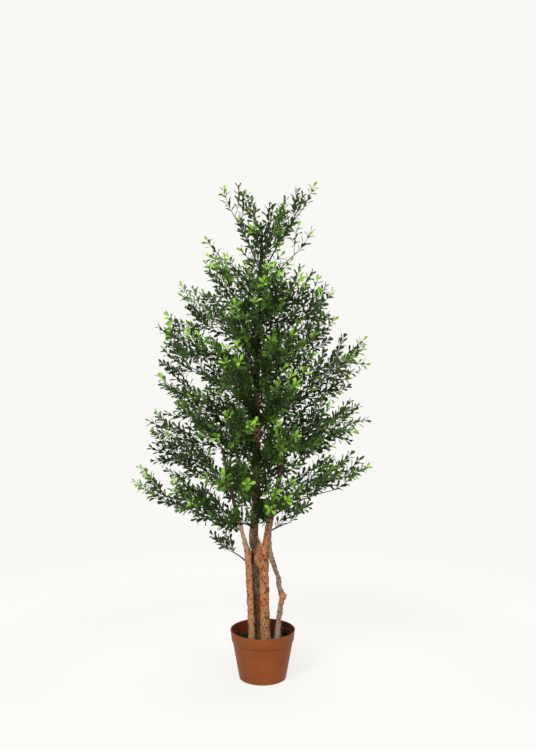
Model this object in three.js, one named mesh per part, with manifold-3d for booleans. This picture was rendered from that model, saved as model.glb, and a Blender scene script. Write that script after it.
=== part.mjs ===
// Artificial boxwood tree: natural wood poles in a plastic nursery pot, under a crown of leafy sprays.
// Millimetres, +Z up, the front along -Y. The origin lies under the middle of the pot's flat underside.
import * as THREE from 'three';
import { mergeVertices } from 'three/addons/utils/BufferGeometryUtils.js';
import Module from 'manifold-3d';

const wasm = await Module();
wasm.setup();

const clearance = 0.3;
const up = new THREE.Vector3(0, 0, 1);

const pot = {
  height: 152,
  rimRadius: 98,
  footRadius: 71.5,
  footRound: 4,
  wall: 2.6,
  rimRound: 1,
  floor: 4,
  collarHeight: 35,
  collarTaper: 3.6,
  collarStep: 2.4,
  sides: 36,
};

const fill = { belowRim: 38, edgeRound: 3 };
fill.height = pot.height - fill.belowRim;

// Each pole is a row of sections from foot to tip: x, y, height and radius.
const poleFoot = fill.height + clearance;
const flare = { share: 0.16, height: 26 };
const knotTop = 262;
const poles = {
  left: {
    sides: 9,
    steps: 17,
    flared: true,
    sections: [
      [-33, -4, poleFoot, 9.8],
      [-40, -4, 300, 9.6],
      [-46, -6, 392, 9.2],
      [-60, -12, 450, 6.4],
      [-84, -28, 545, 5.8],
      [-118, -52, 716, 4],
    ],
  },
  centre: {
    sides: 12,
    steps: 20,
    flared: true,
    sections: [
      [-16, 24, poleFoot, 14.2],
      [-22, 24, 366, 13.8],
      [-27, 21, 430, 13.4],
      [-19, 17, 570, 12.2],
      [-18, 10, 757, 10.6],
      [-15, 4, 1017, 7.8],
      [-5, 2, 1230, 4.6],
      [-1, 0, 1339, 3],
    ],
  },
  right: {
    sides: 11,
    steps: 16,
    flared: true,
    sections: [
      [8, -8, poleFoot, 14],
      [4, -8, 335, 13.6],
      [8, -8, 400, 11.2],
      [18, -10, 470, 10],
      [34, -13, 540, 8.6],
      [62, -20, 688, 5.6],
    ],
  },
  crookedFoot: {
    sides: 8,
    steps: 7,
    flared: true,
    sections: [
      [44, 6, poleFoot, 9.2],
      [49, 6, 179, 7.8],
      [55, 4, 226, 8],
      [60, 2, 249, 10],
      [58, 0, knotTop, 9],
    ],
  },
  crooked: {
    sides: 8,
    steps: 12,
    flared: false,
    sections: [
      [58, 0, knotTop + clearance, 9],
      [49, -5, 291, 7.6],
      [46, -11, 318, 7.6],
      [36, -19, 352, 7.6],
      [25, -28, 390, 7.2],
      [20, -34, 430, 6.6],
      [22, -38, 520, 5],
    ],
  },
};

// The cut-off snag that forks left from the right pole, and the broken twig at the crooked pole's knot.
const snag = {
  sides: 8,
  steps: 5,
  cutDrop: 2.2,
  sections: [
    [1, -8, 334, 8],
    [-12, -9, 368, 14],
    [-11, -9, 400, 12],
    [-6, -9, 424, 9.5],
  ],
};
const knotTwig = { length: 17, foot: 3.4, tip: 2.2, rise: 0.75, height: 250, sides: 5 };

// A tier is two side sprays that reach the crown's outline, with one in front and one behind.
const tierTurn = 22;
const depthShare = 0.94;
const frontDrop = 12;
const sidePoles = ['left', 'right'];
const tiers = [
  { name: 'tier_1', root: 462, left: [318, 556], right: [244, 548], carriers: sidePoles },
  { name: 'tier_2', root: 508, left: [370, 615], right: [288, 584], carriers: sidePoles },
  { name: 'tier_3', root: 585, left: [331, 709], right: [303, 656], carriers: sidePoles },
  { name: 'tier_4', root: 668, left: [314, 812], right: [272, 776] },
  { name: 'tier_5', root: 722, left: [297, 858], right: [283, 842] },
  { name: 'tier_6', root: 776, left: [310, 931], right: [260, 946] },
  { name: 'tier_7', root: 832, left: [321, 988], right: [293, 1022] },
  { name: 'tier_8', root: 908, left: [285, 1079], right: [232, 1084] },
  { name: 'tier_9', root: 990, left: [261, 1158], right: [216, 1176] },
  { name: 'tier_10', root: 1080, left: [176, 1261], right: [164, 1226] },
  { name: 'tier_11', root: 1172, left: [181, 1325], right: [156, 1352], sidesOnly: true },
];

// Sprays of their own: two low ones, those on the tips of the side poles, and the leaders at the top.
const loneSprays = [
  { name: 'low_left', carrier: 'left', root: 366, turn: 176, reach: 172, height: 440 },
  { name: 'low_right', carrier: 'crooked', root: 426, turn: -8, reach: 116, height: 478 },
  { name: 'left_pole_tip', carrier: 'left', turn: 207, reach: 268, height: 862 },
  { name: 'right_pole_tip', carrier: 'right', turn: -34, reach: 250, height: 862 },
  { name: 'crooked_pole_tip', carrier: 'crooked', turn: -64, reach: 205, height: 640 },
  { name: 'leader_far_left', carrier: 'centre', root: 1240, turn: 158, reach: 136, height: 1480 },
  { name: 'leader_left', carrier: 'centre', turn: 200, reach: 61, height: 1469 },
  { name: 'leader_right', carrier: 'centre', root: 1290, turn: 48, reach: 100, height: 1431 },
  { name: 'leader_far_right', carrier: 'centre', root: 1226, turn: -14, reach: 166, height: 1486 },
];
const crownTop = Math.max(...loneSprays.map((spray) => spray.height)) + 1;

const stem = { foot: 4.4, tip: 3, arch: 0.1, steps: 4 };
const twig = {
  count: 5,
  firstAt: 0.2,
  lastAt: 0.9,
  angle: 50,
  foot: 1.6,
  tip: 1.5,
  longShare: 0.26,
  shortShare: 0.16,
};
const leaf = {
  length: 84,
  width: 40,
  thickness: 4,
  widestAt: 0.66,
  ridgeAt: 0.4,
  tipShare: 0.34,
  sunk: 3,
  spread: 52,
  leastSpread: 0.8,
  mostSpread: 1.2,
  sidesAt: [0.35, 0.55, 0.78],
};
const crowding = { apart: 22, checkedAt: [0.3, 0.62, 0.95], tries: 8 };
const space = { sites: 6, margin: 4, limbMargin: 3, pastTip: 4, leastReach: 130 };
const firstSeed = 101;
const sameCorner = 1e-4;
const shortestEdge = 0.05;
const nearlyUpright = 0.1;

const goldenAngle = Math.PI * (3 - Math.sqrt(5));
const radians = THREE.MathUtils.degToRad;

// One closed skin over a row of equal rings, each ring counter-clockwise as seen from the next.
function skin(rings) {
  const sides = rings[0].length;
  const faces = [];
  for (let i = 1; i < sides - 1; i++) {
    const top = (rings.length - 1) * sides;
    faces.push(0, i + 1, i, top, top + i, top + i + 1);
  }
  for (let ring = 0; ring < rings.length - 1; ring++) {
    for (let i = 0; i < sides; i++) {
      const here = ring * sides + i;
      const next = ring * sides + ((i + 1) % sides);
      faces.push(here, next, next + sides, here, next + sides, here + sides);
    }
  }
  const geometry = new THREE.BufferGeometry().setFromPoints(rings.flat());
  geometry.setIndex(faces);
  return geometry;
}

function lathe(profile) {
  const points = profile.map(([radius, height]) => new THREE.Vector2(radius, height));
  const geometry = new THREE.LatheGeometry(points, pot.sides);
  geometry.rotateX(Math.PI / 2);
  geometry.deleteAttribute('normal');
  geometry.deleteAttribute('uv');
  return dropFlatFaces(mergeVertices(geometry, sameCorner));
}

// Welding corners leaves faces with no area, as a lathe does where its profile meets the axis.
function dropFlatFaces(geometry) {
  const corners = geometry.index.array;
  const kept = [];
  for (let i = 0; i < corners.length; i += 3) {
    const [a, b, c] = corners.slice(i, i + 3);
    if (a !== b && b !== c && c !== a) kept.push(a, b, c);
  }
  geometry.setIndex(kept);
  return geometry;
}

function toSolid(geometry) {
  return new wasm.Manifold(
    new wasm.Mesh({
      numProp: 3,
      vertProperties: Float32Array.from(geometry.attributes.position.array),
      triVerts: Uint32Array.from(geometry.index.array),
    }),
  );
}

function toGeometry(solid) {
  const mesh = solid.getMesh();
  const geometry = new THREE.BufferGeometry();
  geometry.setAttribute('position', new THREE.BufferAttribute(mesh.vertProperties, 3));
  geometry.setIndex(new THREE.BufferAttribute(mesh.triVerts, 1));
  return geometry;
}

// Welds the two ends of every edge under the shortest one, so that no sliver is left.
function weldShortEdges(geometry) {
  const { position } = geometry.attributes;
  const corners = geometry.index.array;
  const place = (corner) => new THREE.Vector3().fromBufferAttribute(position, corner);
  const welded = Array.from({ length: position.count }, (_, corner) => corner);
  const keptCorner = (corner) => (welded[corner] === corner ? corner : keptCorner(welded[corner]));
  corners.forEach((corner, i) => {
    const next = corners[i % 3 === 2 ? i - 2 : i + 1];
    if (place(corner).distanceTo(place(next)) < shortestEdge) welded[keptCorner(corner)] = keptCorner(next);
  });
  geometry.setIndex(Array.from(corners, keptCorner));
  return mergeVertices(dropFlatFaces(geometry).toNonIndexed(), sameCorner);
}

// Joins the pieces into one body. Where a piece stays loose, the largest body is kept.
function fuse(geometries) {
  const solids = geometries.map(toSolid);
  const joined = solids.slice(1).reduce((whole, piece) => whole.add(piece), solids[0]);
  const bodies = joined.decompose();
  bodies.sort((a, b) => b.volume() - a.volume());
  return weldShortEdges(toGeometry(bodies[0]));
}

function potProfile() {
  const { height, rimRadius, rimRound, footRadius, footRound, wall, floor } = pot;
  const collarFoot = height - pot.collarHeight;
  const collarRadius = rimRadius - pot.collarTaper;
  const bodyRadius = collarRadius - pot.collarStep;
  const footInside = footRadius + footRound / 2 - wall;
  return [
    [0, 0],
    [footRadius - footRound, 0],
    [footRadius, footRound],
    [bodyRadius, collarFoot],
    [collarRadius, collarFoot + pot.collarStep],
    [rimRadius, height - rimRound],
    [rimRadius - wall / 2, height],
    [rimRadius - wall, height - rimRound],
    [bodyRadius - wall, collarFoot],
    [footInside, floor],
    [0, floor],
  ];
}

// The inside of the pot's wall, less the clearance, at a height under the collar.
function fillRadius(height) {
  const profile = potProfile();
  const [top, foot] = [profile[8], profile[9]];
  const share = (height - foot[1]) / (top[1] - foot[1]);
  return foot[0] + (top[0] - foot[0]) * share - clearance;
}

function fillProfile() {
  const bottom = pot.floor + clearance;
  return [
    [0, bottom],
    [fillRadius(bottom), bottom],
    [fillRadius(fill.height - fill.edgeRound), fill.height - fill.edgeRound],
    [fillRadius(fill.height) - fill.edgeRound, fill.height],
    [0, fill.height],
  ];
}

// A uniform Catmull-Rom spline through the sections, at a share of the whole row.
function sectionAt(sections, share) {
  const last = sections.length - 1;
  const place = THREE.MathUtils.clamp(share, 0, 1) * last;
  const index = Math.min(Math.floor(place), last - 1);
  const t = place - index;
  const [b, c] = [sections[index], sections[index + 1]];
  const a = sections[index - 1] ?? b.map((value, i) => 2 * value - c[i]);
  const d = sections[index + 2] ?? c.map((value, i) => 2 * value - b[i]);
  return b.map((value, i) => {
    const [leave, arrive] = [(c[i] - a[i]) / 2, (d[i] - value) / 2];
    const cubic = 2 * value - 2 * c[i] + leave + arrive;
    const square = 3 * c[i] - 3 * value - 2 * leave - arrive;
    return value + t * (leave + t * (square + t * cubic));
  });
}

function flareAt(pole, height) {
  return pole.flared ? 1 + flare.share * Math.exp((poleFoot - height) / flare.height) : 1;
}

// Level rings up a pole, with one more just over the foot where it flares.
function poleSections(pole) {
  const [foot, second] = pole.sections;
  const firstSpan = (second[2] - foot[2]) * (pole.sections.length - 1);
  const shares = Array.from({ length: pole.steps + 1 }, (_, step) => step / pole.steps);
  if (pole.flared) shares.splice(1, 0, flare.height / firstSpan);
  return shares.map((share) => {
    const [x, y, z, radius] = sectionAt(pole.sections, share);
    return [x, y, z, radius * flareAt(pole, z)];
  });
}

for (const pole of Object.values(poles)) pole.rings = poleSections(pole);

function levelRing([x, y, z, radius], sides, drop = 0) {
  return Array.from({ length: sides }, (_, i) => {
    const angle = (2 * Math.PI * i) / sides;
    const across = radius * Math.cos(angle);
    return new THREE.Vector3(x + across, y + radius * Math.sin(angle), z - drop * across);
  });
}

function poleSkin(pole) {
  return skin(pole.rings.map((section) => levelRing(section, pole.sides)));
}

function snagSkin() {
  const rings = Array.from({ length: snag.steps + 1 }, (_, step) => {
    const share = step / snag.steps;
    return levelRing(sectionAt(snag.sections, share), snag.sides, snag.cutDrop * share ** 2);
  });
  return skin(rings);
}

function knotTwigSkin() {
  const [x, y] = poleAt(poles.crookedFoot, knotTwig.height);
  const along = new THREE.Vector3(1, 0, knotTwig.rise).normalize();
  const foot = new THREE.Vector3(x, y, knotTwig.height);
  const tip = foot.clone().addScaledVector(along, knotTwig.length);
  return tube([foot, tip], [knotTwig.foot, knotTwig.tip], knotTwig.sides, [along, along]);
}

// The pole's centre and radius at a height, along the straight faces between its rings.
function poleAt(pole, height) {
  const rings = pole.rings;
  const last = rings.length - 1;
  if (height <= rings[0][2]) return rings[0];
  if (height >= rings[last][2]) return rings[last];
  const index = rings.findIndex((ring) => ring[2] > height) - 1;
  const [low, high] = [rings[index], rings[index + 1]];
  const share = (height - low[2]) / (high[2] - low[2]);
  return low.map((value, i) => value + (high[i] - value) * share);
}

// A tube round the points, each ring square to its own direction.
function tube(points, radii, sides, directions) {
  let side = new THREE.Vector3().crossVectors(directions[0], up);
  if (side.length() < nearlyUpright) side.set(1, 0, 0);
  return skin(
    points.map((point, step) => {
      const along = directions[step];
      side.addScaledVector(along, -side.dot(along)).normalize();
      const over = new THREE.Vector3().crossVectors(along, side);
      return Array.from({ length: sides }, (_, i) => {
        const angle = (2 * Math.PI * i) / sides;
        return point
          .clone()
          .addScaledVector(side, radii[step] * Math.cos(angle))
          .addScaledVector(over, radii[step] * Math.sin(angle));
      });
    }),
  );
}

// Six corners and eight faces: a flat underside with a blunt tip, and one raised point on the midrib.
// Only one face of the underside meets the root, so little is cut where the root is sunk in its twig.
function leafSkin({ root, along, face }) {
  const side = new THREE.Vector3().crossVectors(along, face);
  const corner = (forward, across, raised) =>
    root
      .clone()
      .addScaledVector(along, leaf.length * forward)
      .addScaledVector(side, leaf.width * across)
      .addScaledVector(face, raised);
  const corners = [
    corner(0, 0, 0),
    corner(leaf.widestAt, 0.5, 0),
    corner(1, leaf.tipShare / 2, 0),
    corner(1, -leaf.tipShare / 2, 0),
    corner(leaf.widestAt, -0.5, 0),
    corner(leaf.ridgeAt, 0, leaf.thickness),
  ];
  const geometry = new THREE.BufferGeometry().setFromPoints(corners);
  geometry.setIndex([0, 4, 1, 1, 4, 3, 1, 3, 2, 5, 0, 1, 5, 1, 2, 5, 2, 3, 5, 3, 4, 5, 4, 0]);
  return geometry;
}

function seeded(seed) {
  let state = seed >>> 0;
  return () => {
    state = (state + 0x6d2b79f5) >>> 0;
    let mixed = Math.imul(state ^ (state >>> 15), state | 1);
    mixed ^= mixed + Math.imul(mixed ^ (mixed >>> 7), mixed | 61);
    return ((mixed ^ (mixed >>> 14)) >>> 0) / 4294967296;
  };
}

// Every spray as a name, its pole, a root height and a tip. With no root height, it is on the pole's tip.
function layOutSprays() {
  const sprays = [];
  tiers.forEach((tier, number) => {
    const turn = number % 2 ? tierTurn : -tierTurn;
    const stretch = 1 / Math.cos(radians(turn));
    const depth = ((tier.left[0] + tier.right[0]) / 2) * depthShare;
    const middle = (tier.left[1] + tier.right[1]) / 2;
    const [leftCarrier, rightCarrier] = tier.carriers ?? ['centre', 'centre'];
    const sides = [
      ['left', leftCarrier, 180 + turn, tier.left[0] * stretch, tier.left[1]],
      ['right', rightCarrier, turn, tier.right[0] * stretch, tier.right[1]],
    ];
    const depths = [
      ['front', 'centre', -90 + turn, depth, middle - frontDrop],
      ['back', 'centre', 90 + turn, depth, middle + frontDrop],
    ];
    for (const [place, carrier, azimuth, reach, height] of tier.sidesOnly ? sides : [...sides, ...depths]) {
      const name = `${tier.name}_${place}`;
      sprays.push({ name, carrier, root: tier.root, turn: azimuth, reach, height });
    }
  });
  return [...sprays, ...loneSprays];
}

// The curve of a spray's stem, from the pole's surface to where its last leaf takes over.
function stemCurve(spray) {
  const pole = poles[spray.carrier];
  const onTip = spray.root === undefined;
  const azimuth = radians(spray.turn);
  const outward = new THREE.Vector3(Math.cos(azimuth), Math.sin(azimuth), 0);
  const tip = outward.multiplyScalar(spray.reach).setZ(spray.height);
  const height = onTip ? pole.rings.at(-1)[2] : spray.root;
  const [x, y, , radius] = poleAt(pole, height);
  const root = new THREE.Vector3(x, y, height);
  const facing = new THREE.Vector3(tip.x - x, tip.y - y, 0).normalize();
  if (onTip) {
    root.z += clearance;
    facing.copy(up);
  } else {
    const surfaces = [-stem.foot, stem.foot].map((rise) => {
      const [nearX, nearY, , nearRadius] = poleAt(pole, height + rise);
      return (nearX - x) * facing.x + (nearY - y) * facing.y + nearRadius;
    });
    root.addScaledVector(facing, Math.max(radius, ...surfaces) + clearance);
  }
  const end = tip.clone().addScaledVector(tip.clone().sub(root).normalize(), -leaf.length);
  const bend = root.clone().lerp(end, 0.5).addScaledVector(up, stem.arch * root.distanceTo(end));
  return { curve: new THREE.QuadraticBezierCurve3(root, bend, end), facing, tip };
}

const sprays = layOutSprays().map((spray, number) => ({ ...spray, ...stemCurve(spray), number }));
for (const spray of sprays) {
  const alongStem = spray.curve.getPoints(space.sites).slice(1);
  spray.sites = [...alongStem, spray.tip];
}

function nearest(point, sites) {
  return Math.min(...sites.map((site) => site.distanceTo(point)));
}

// A spray's own space is what lies nearer its stem than any other stem, and clear of every pole.
function inOwnSpace(point, spray) {
  for (const pole of Object.values(poles)) {
    const [x, y, z, radius] = poleAt(pole, point.z);
    const away = Math.hypot(point.x - x, point.y - y, point.z - z);
    if (away < radius + space.limbMargin) return false;
  }
  const reach = Math.max(spray.reach, space.leastReach) + space.pastTip;
  if (Math.hypot(point.x, point.y) > reach) return false;
  if (point.z > crownTop) return false;
  const own = nearest(point, spray.sites) + space.margin;
  return sprays.every((other) => other === spray || nearest(point, other.sites) > own);
}

function fits(geometry, spray) {
  const { position } = geometry.attributes;
  const corner = (_, i) => new THREE.Vector3().fromBufferAttribute(position, i);
  const corners = Array.from({ length: position.count }, corner);
  const middle = corners.reduce((sum, corner) => sum.add(corner), new THREE.Vector3());
  middle.divideScalar(corners.length);
  return [middle, ...corners].every((point) => inOwnSpace(point, spray));
}

// The direction at an angle off another, turned about it.
function branchDirection(along, angle, turn) {
  const side = new THREE.Vector3().crossVectors(along, up).normalize();
  const over = new THREE.Vector3().crossVectors(side, along);
  return along
    .clone()
    .multiplyScalar(Math.cos(angle))
    .addScaledVector(side, Math.sin(angle) * Math.cos(turn))
    .addScaledVector(over, Math.sin(angle) * Math.sin(turn))
    .normalize();
}

function leafFace(along, random) {
  const lean = new THREE.Vector3(random() - 0.5, random() - 0.5, random());
  return lean.addScaledVector(along, -lean.dot(along)).normalize();
}

function stemSkin({ curve, facing }) {
  const shares = Array.from({ length: stem.steps + 1 }, (_, step) => step / stem.steps);
  const points = shares.map((share) => curve.getPoint(share));
  const radii = shares.map((share) => stem.foot + (stem.tip - stem.foot) * share);
  const directions = shares.map((share) => (share ? curve.getTangent(share) : facing));
  return tube(points, radii, 3, directions);
}

// One spray: side twigs turn about the stem by the golden angle, with leaves at their tips and along them.
function growSpray(spray) {
  const random = seeded(firstSeed + spray.number);
  const pieces = [stemSkin(spray)];
  const blades = [];
  // A leaf is turned on about its twig until it fits, and left out where it never does.
  const addLeaf = (root, around, spread, turn) => {
    for (let tries = 0; tries < crowding.tries; tries++) {
      const angle = spread * THREE.MathUtils.lerp(leaf.leastSpread, leaf.mostSpread, random());
      const along = branchDirection(around, angle, turn + goldenAngle * tries);
      const bladePoint = (share) => root.clone().addScaledVector(along, leaf.length * share);
      const blade = crowding.checkedAt.map(bladePoint);
      if (blade.some((point) => nearest(point, blades) < crowding.apart)) continue;
      const skinned = leafSkin({ root, along, face: leafFace(along, random) });
      if (!fits(skinned, spray)) continue;
      pieces.push(skinned);
      blades.push(...blade);
      return true;
    }
    return false;
  };
  const length = spray.curve.getLength();
  const end = spray.curve.getPoint(1);
  const ahead = spray.tip.clone().sub(end).normalize();
  addLeaf(end.clone().addScaledVector(ahead, -leaf.sunk), ahead, 0, 0);
  const firstTurn = random() * 2 * Math.PI;
  for (let i = 0; i < twig.count; i++) {
    const share = twig.firstAt + ((twig.lastAt - twig.firstAt) * i) / (twig.count - 1);
    const foot = spray.curve.getPoint(share);
    const tangent = spray.curve.getTangent(share);
    const twigLength = length * THREE.MathUtils.lerp(twig.longShare, twig.shortShare, share);
    for (let tries = 0; tries < crowding.tries; tries++) {
      const turn = firstTurn + goldenAngle * (i + tries * twig.count);
      const along = branchDirection(tangent, radians(twig.angle), turn);
      const tip = foot.clone().addScaledVector(along, twigLength);
      if (!addLeaf(tip.clone().addScaledVector(along, -leaf.sunk), along, 0, 0)) continue;
      const roll = random() * Math.PI;
      for (const [side, sideShare] of leaf.sidesAt.entries()) {
        addLeaf(foot.clone().lerp(tip, sideShare), along, radians(leaf.spread), roll + side * Math.PI);
      }
      pieces.push(tube([foot, tip], [twig.foot, twig.tip], 3, [along, along]));
      break;
    }
  }
  return pieces;
}

const finishes = {
  plastic: { color: '#8d4d29', roughness: 0.5, metalness: 0 },
  fill: { color: '#2a2118', roughness: 0.95, metalness: 0 },
  warmBark: { color: '#a4744c', roughness: 0.85, metalness: 0 },
  oliveBark: { color: '#7d6a4c', roughness: 0.9, metalness: 0 },
  greyBark: { color: '#8d745a', roughness: 0.88, metalness: 0 },
  deepGreen: { color: '#34451f', roughness: 0.55, metalness: 0 },
  midGreen: { color: '#46602a', roughness: 0.55, metalness: 0 },
  freshGreen: { color: '#5f8434', roughness: 0.5, metalness: 0 },
};
const greens = ['deepGreen', 'midGreen', 'freshGreen'];

const artificialBoxwood = new THREE.Group();

function addPart(name, geometry, finish) {
  geometry.computeVertexNormals();
  const mesh = new THREE.Mesh(geometry, new THREE.MeshStandardMaterial(finishes[finish]));
  mesh.name = name;
  artificialBoxwood.add(mesh);
}

addPart('pot', lathe(potProfile()), 'plastic');
addPart('pot_fill', lathe(fillProfile()), 'fill');
addPart('pole_left', poleSkin(poles.left), 'warmBark');
addPart('pole_centre', poleSkin(poles.centre), 'oliveBark');
addPart('pole_right', fuse([poleSkin(poles.right), snagSkin()]), 'warmBark');
addPart('pole_crooked_foot', fuse([poleSkin(poles.crookedFoot), knotTwigSkin()]), 'greyBark');
addPart('pole_crooked', poleSkin(poles.crooked), 'greyBark');
for (const spray of sprays) {
  addPart(`spray_${spray.name}`, fuse(growSpray(spray)), greens[spray.number % greens.length]);
}

export default artificialBoxwood;
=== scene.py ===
import math
import bpy
import numpy as np
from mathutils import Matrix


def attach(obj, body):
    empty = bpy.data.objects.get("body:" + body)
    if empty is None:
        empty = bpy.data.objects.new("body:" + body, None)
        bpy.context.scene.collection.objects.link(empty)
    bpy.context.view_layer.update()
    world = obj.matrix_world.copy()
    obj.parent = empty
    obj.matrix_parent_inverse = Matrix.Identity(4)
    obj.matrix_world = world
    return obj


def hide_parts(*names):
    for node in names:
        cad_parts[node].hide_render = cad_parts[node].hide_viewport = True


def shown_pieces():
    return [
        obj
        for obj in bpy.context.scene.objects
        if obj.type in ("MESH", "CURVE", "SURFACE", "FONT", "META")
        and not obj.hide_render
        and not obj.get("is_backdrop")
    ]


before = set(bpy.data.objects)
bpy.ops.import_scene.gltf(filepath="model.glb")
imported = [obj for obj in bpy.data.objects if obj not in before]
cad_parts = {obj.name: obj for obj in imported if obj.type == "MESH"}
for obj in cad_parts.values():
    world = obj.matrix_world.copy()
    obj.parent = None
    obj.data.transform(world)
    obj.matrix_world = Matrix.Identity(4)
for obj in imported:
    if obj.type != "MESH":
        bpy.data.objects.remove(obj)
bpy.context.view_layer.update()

mm = 0.001  # sizes below are in millimetres, as in the part
pi = math.pi


# camera, floor and lights

view = {"place": (0.016, -3.31, 1.311), "pitchDown": 6.6, "lens": 54.05, "sensor": 36, "farEnd": 200}


def setCamera():
    bpy.ops.object.camera_add(location=view["place"], rotation=(math.radians(90 - view["pitchDown"]), 0, 0))
    camera = bpy.context.active_object
    camera.name = "photoCamera"
    camera.data.lens = view["lens"]
    camera.data.sensor_width = view["sensor"]
    camera.data.clip_end = view["farEnd"]
    bpy.context.scene.camera = camera


studio = {
    "backdrop": (0.947, 0.939, 0.905),
    "ambient": (1.0, 0.985, 0.955),
    "ambientStrength": 0.34,
    "floorSize": 160,
    "floorGlow": 0.78,
    "floorDiffuse": 0.22,
    "floorBounce": 0.4,
    "fadeFrom": 0.35,
    "fadeTo": 1.5,
    "lamps": [
        {"name": "keyLamp", "place": (-1.9, -3.2, 3.4), "aim": (0, 0, 0.8), "size": 1.9, "watts": 150},
        {"name": "fillLamp", "place": (2.6, -3.0, 2.2), "aim": (0, 0, 0.7), "size": 2.2, "watts": 70},
        {"name": "topLamp", "place": (0.2, 0.6, 3.6), "aim": (0, 0, 0.9), "size": 2.4, "watts": 60},
        {"name": "potLamp", "place": (-0.5, -2.6, 0.7), "aim": (0, 0, 0.2), "size": 1.2, "watts": 12},
    ],
}


def deselectAll():
    if bpy.context.object and bpy.context.object.mode != "OBJECT":
        bpy.ops.object.mode_set(mode="OBJECT")
    bpy.ops.object.select_all(action="DESELECT")


def pick(piece):
    deselectAll()
    piece.select_set(True)
    bpy.context.view_layer.objects.active = piece


# each input takes another node's output, a number, a vector or a colour
def feed(tree, node, inputs):
    for key, value in inputs.items():
        socket = node.inputs[key]
        if isinstance(value, bpy.types.NodeSocket):
            tree.links.new(value, socket)
        elif isinstance(value, (tuple, list)) and len(value) < len(socket.default_value):
            socket.default_value = [*value, 1]
        else:
            socket.default_value = value


def addNode(tree, kind, inputs=(), **settings):
    node = tree.nodes.new(kind)
    for key, value in settings.items():
        setattr(node, key, value)
    feed(tree, node, dict(inputs))
    return node


def addNoise(tree, vector, scale, detail, roughness):
    inputs = {"Vector": vector, "Scale": scale, "Detail": detail, "Roughness": roughness}
    return addNode(tree, "ShaderNodeTexNoise", inputs).outputs["Fac"]


def addRange(tree, value, low, high, toLow=0.0, toHigh=1.0):
    inputs = {"Value": value, "From Min": low, "From Max": high, "To Min": toLow, "To Max": toHigh}
    return addNode(tree, "ShaderNodeMapRange", inputs, interpolation_type="SMOOTHSTEP").outputs["Result"]


def addMath(tree, operation, *values):
    return addNode(tree, "ShaderNodeMath", enumerate(values), operation=operation).outputs[0]


# in a Mix node of colours, 6 and 7 are the two colours and 2 the result
def addMix(tree, factor, first, second):
    return addNode(tree, "ShaderNodeMix", {0: factor, 6: first, 7: second}, data_type="RGBA").outputs[2]


# a colour laid over another where the mask is, as strongly as asked
def addLayer(tree, mask, strength, under, over):
    return addMix(tree, addMath(tree, "MULTIPLY", mask, strength), under, over)


# two values added, each times its share
def addShares(tree, *pairs):
    return addMath(tree, "ADD", *(addMath(tree, "MULTIPLY", value, share) for value, share in pairs))


def addMapping(tree, vector, scale):
    return addNode(tree, "ShaderNodeMapping", {"Vector": vector, "Scale": scale}).outputs[0]


def addLength(tree, vector):
    return addNode(tree, "ShaderNodeVectorMath", {0: vector}, operation="LENGTH").outputs["Value"]


def addBump(tree, height, strength, distance):
    return addNode(tree, "ShaderNodeBump", {
        "Strength": strength, "Distance": distance, "Height": height,
    }).outputs["Normal"]


def blankMaterial(name):
    material = bpy.data.materials.new(name)
    material.use_nodes = True
    tree = material.node_tree
    coordinates = addNode(tree, "ShaderNodeTexCoord").outputs["Object"]
    return material, tree, tree.nodes["Principled BSDF"], coordinates


# far from the plant the floor glows as the backdrop does, so that no horizon shows
def setFloor():
    deselectAll()
    bpy.ops.mesh.primitive_plane_add(size=studio["floorSize"], location=(0, 0, 0))
    floor = bpy.context.active_object
    floor.name = "floor"
    material, tree, shader, coordinates = blankMaterial("paleFloor")
    fade = addRange(tree, addLength(tree, coordinates), studio["fadeFrom"], studio["fadeTo"])
    near = [value * studio["floorDiffuse"] for value in studio["backdrop"]]
    glow = addRange(tree, fade, 0, 1, studio["floorGlow"], 1)
    seen = addNode(tree, "ShaderNodeLightPath").outputs["Is Camera Ray"]
    share = addRange(tree, seen, 0, 1, studio["floorBounce"], 1)
    feed(tree, shader, {
        "Base Color": addMix(tree, fade, near, (0, 0, 0)),
        "Roughness": 1,
        "Specular IOR Level": 0,
        "Emission Color": studio["backdrop"],
        "Emission Strength": addMath(tree, "MULTIPLY", glow, share),
    })
    floor.data.materials.append(material)
    floor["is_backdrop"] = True


def setWorld():
    world = bpy.data.worlds.new("studioWorld")
    world.use_nodes = True
    bpy.context.scene.world = world
    tree = world.node_tree
    tree.nodes.clear()
    light = {"Color": studio["ambient"], "Strength": studio["ambientStrength"]}
    ambient = addNode(tree, "ShaderNodeBackground", light).outputs[0]
    backdrop = addNode(tree, "ShaderNodeBackground", {"Color": studio["backdrop"]}).outputs[0]
    seen = addNode(tree, "ShaderNodeLightPath").outputs["Is Camera Ray"]
    mix = addNode(tree, "ShaderNodeMixShader", {0: seen, 1: ambient, 2: backdrop})
    addNode(tree, "ShaderNodeOutputWorld", {"Surface": mix.outputs[0]})


def setLamps():
    for lamp in studio["lamps"]:
        x, y, z = np.array(lamp["aim"]) - np.array(lamp["place"])
        turn = (math.atan2(math.hypot(x, y), -z), 0, math.atan2(-x, y))
        bpy.ops.object.light_add(type="AREA", location=lamp["place"], rotation=turn)
        light = bpy.context.active_object
        light.name = lamp["name"]
        light.data.size = lamp["size"]
        light.data.energy = lamp["watts"]


setCamera()
setFloor()
setWorld()
setLamps()
bpy.context.scene.view_settings.view_transform = "Standard"
print("studio set")


def newGroup(name, inputs, outputs):
    group = bpy.data.node_groups.new(name, "ShaderNodeTree")
    for socketName, value in inputs.items():
        kind = "NodeSocketVector" if isinstance(value, tuple) else "NodeSocketFloat"
        socket = group.interface.new_socket(name=socketName, in_out="INPUT", socket_type=kind)
        socket.default_value = value
    for socketName in outputs:
        group.interface.new_socket(name=socketName, in_out="OUTPUT", socket_type="NodeSocketFloat")
    return group, group.nodes.new("NodeGroupInput").outputs, group.nodes.new("NodeGroupOutput")


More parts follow.
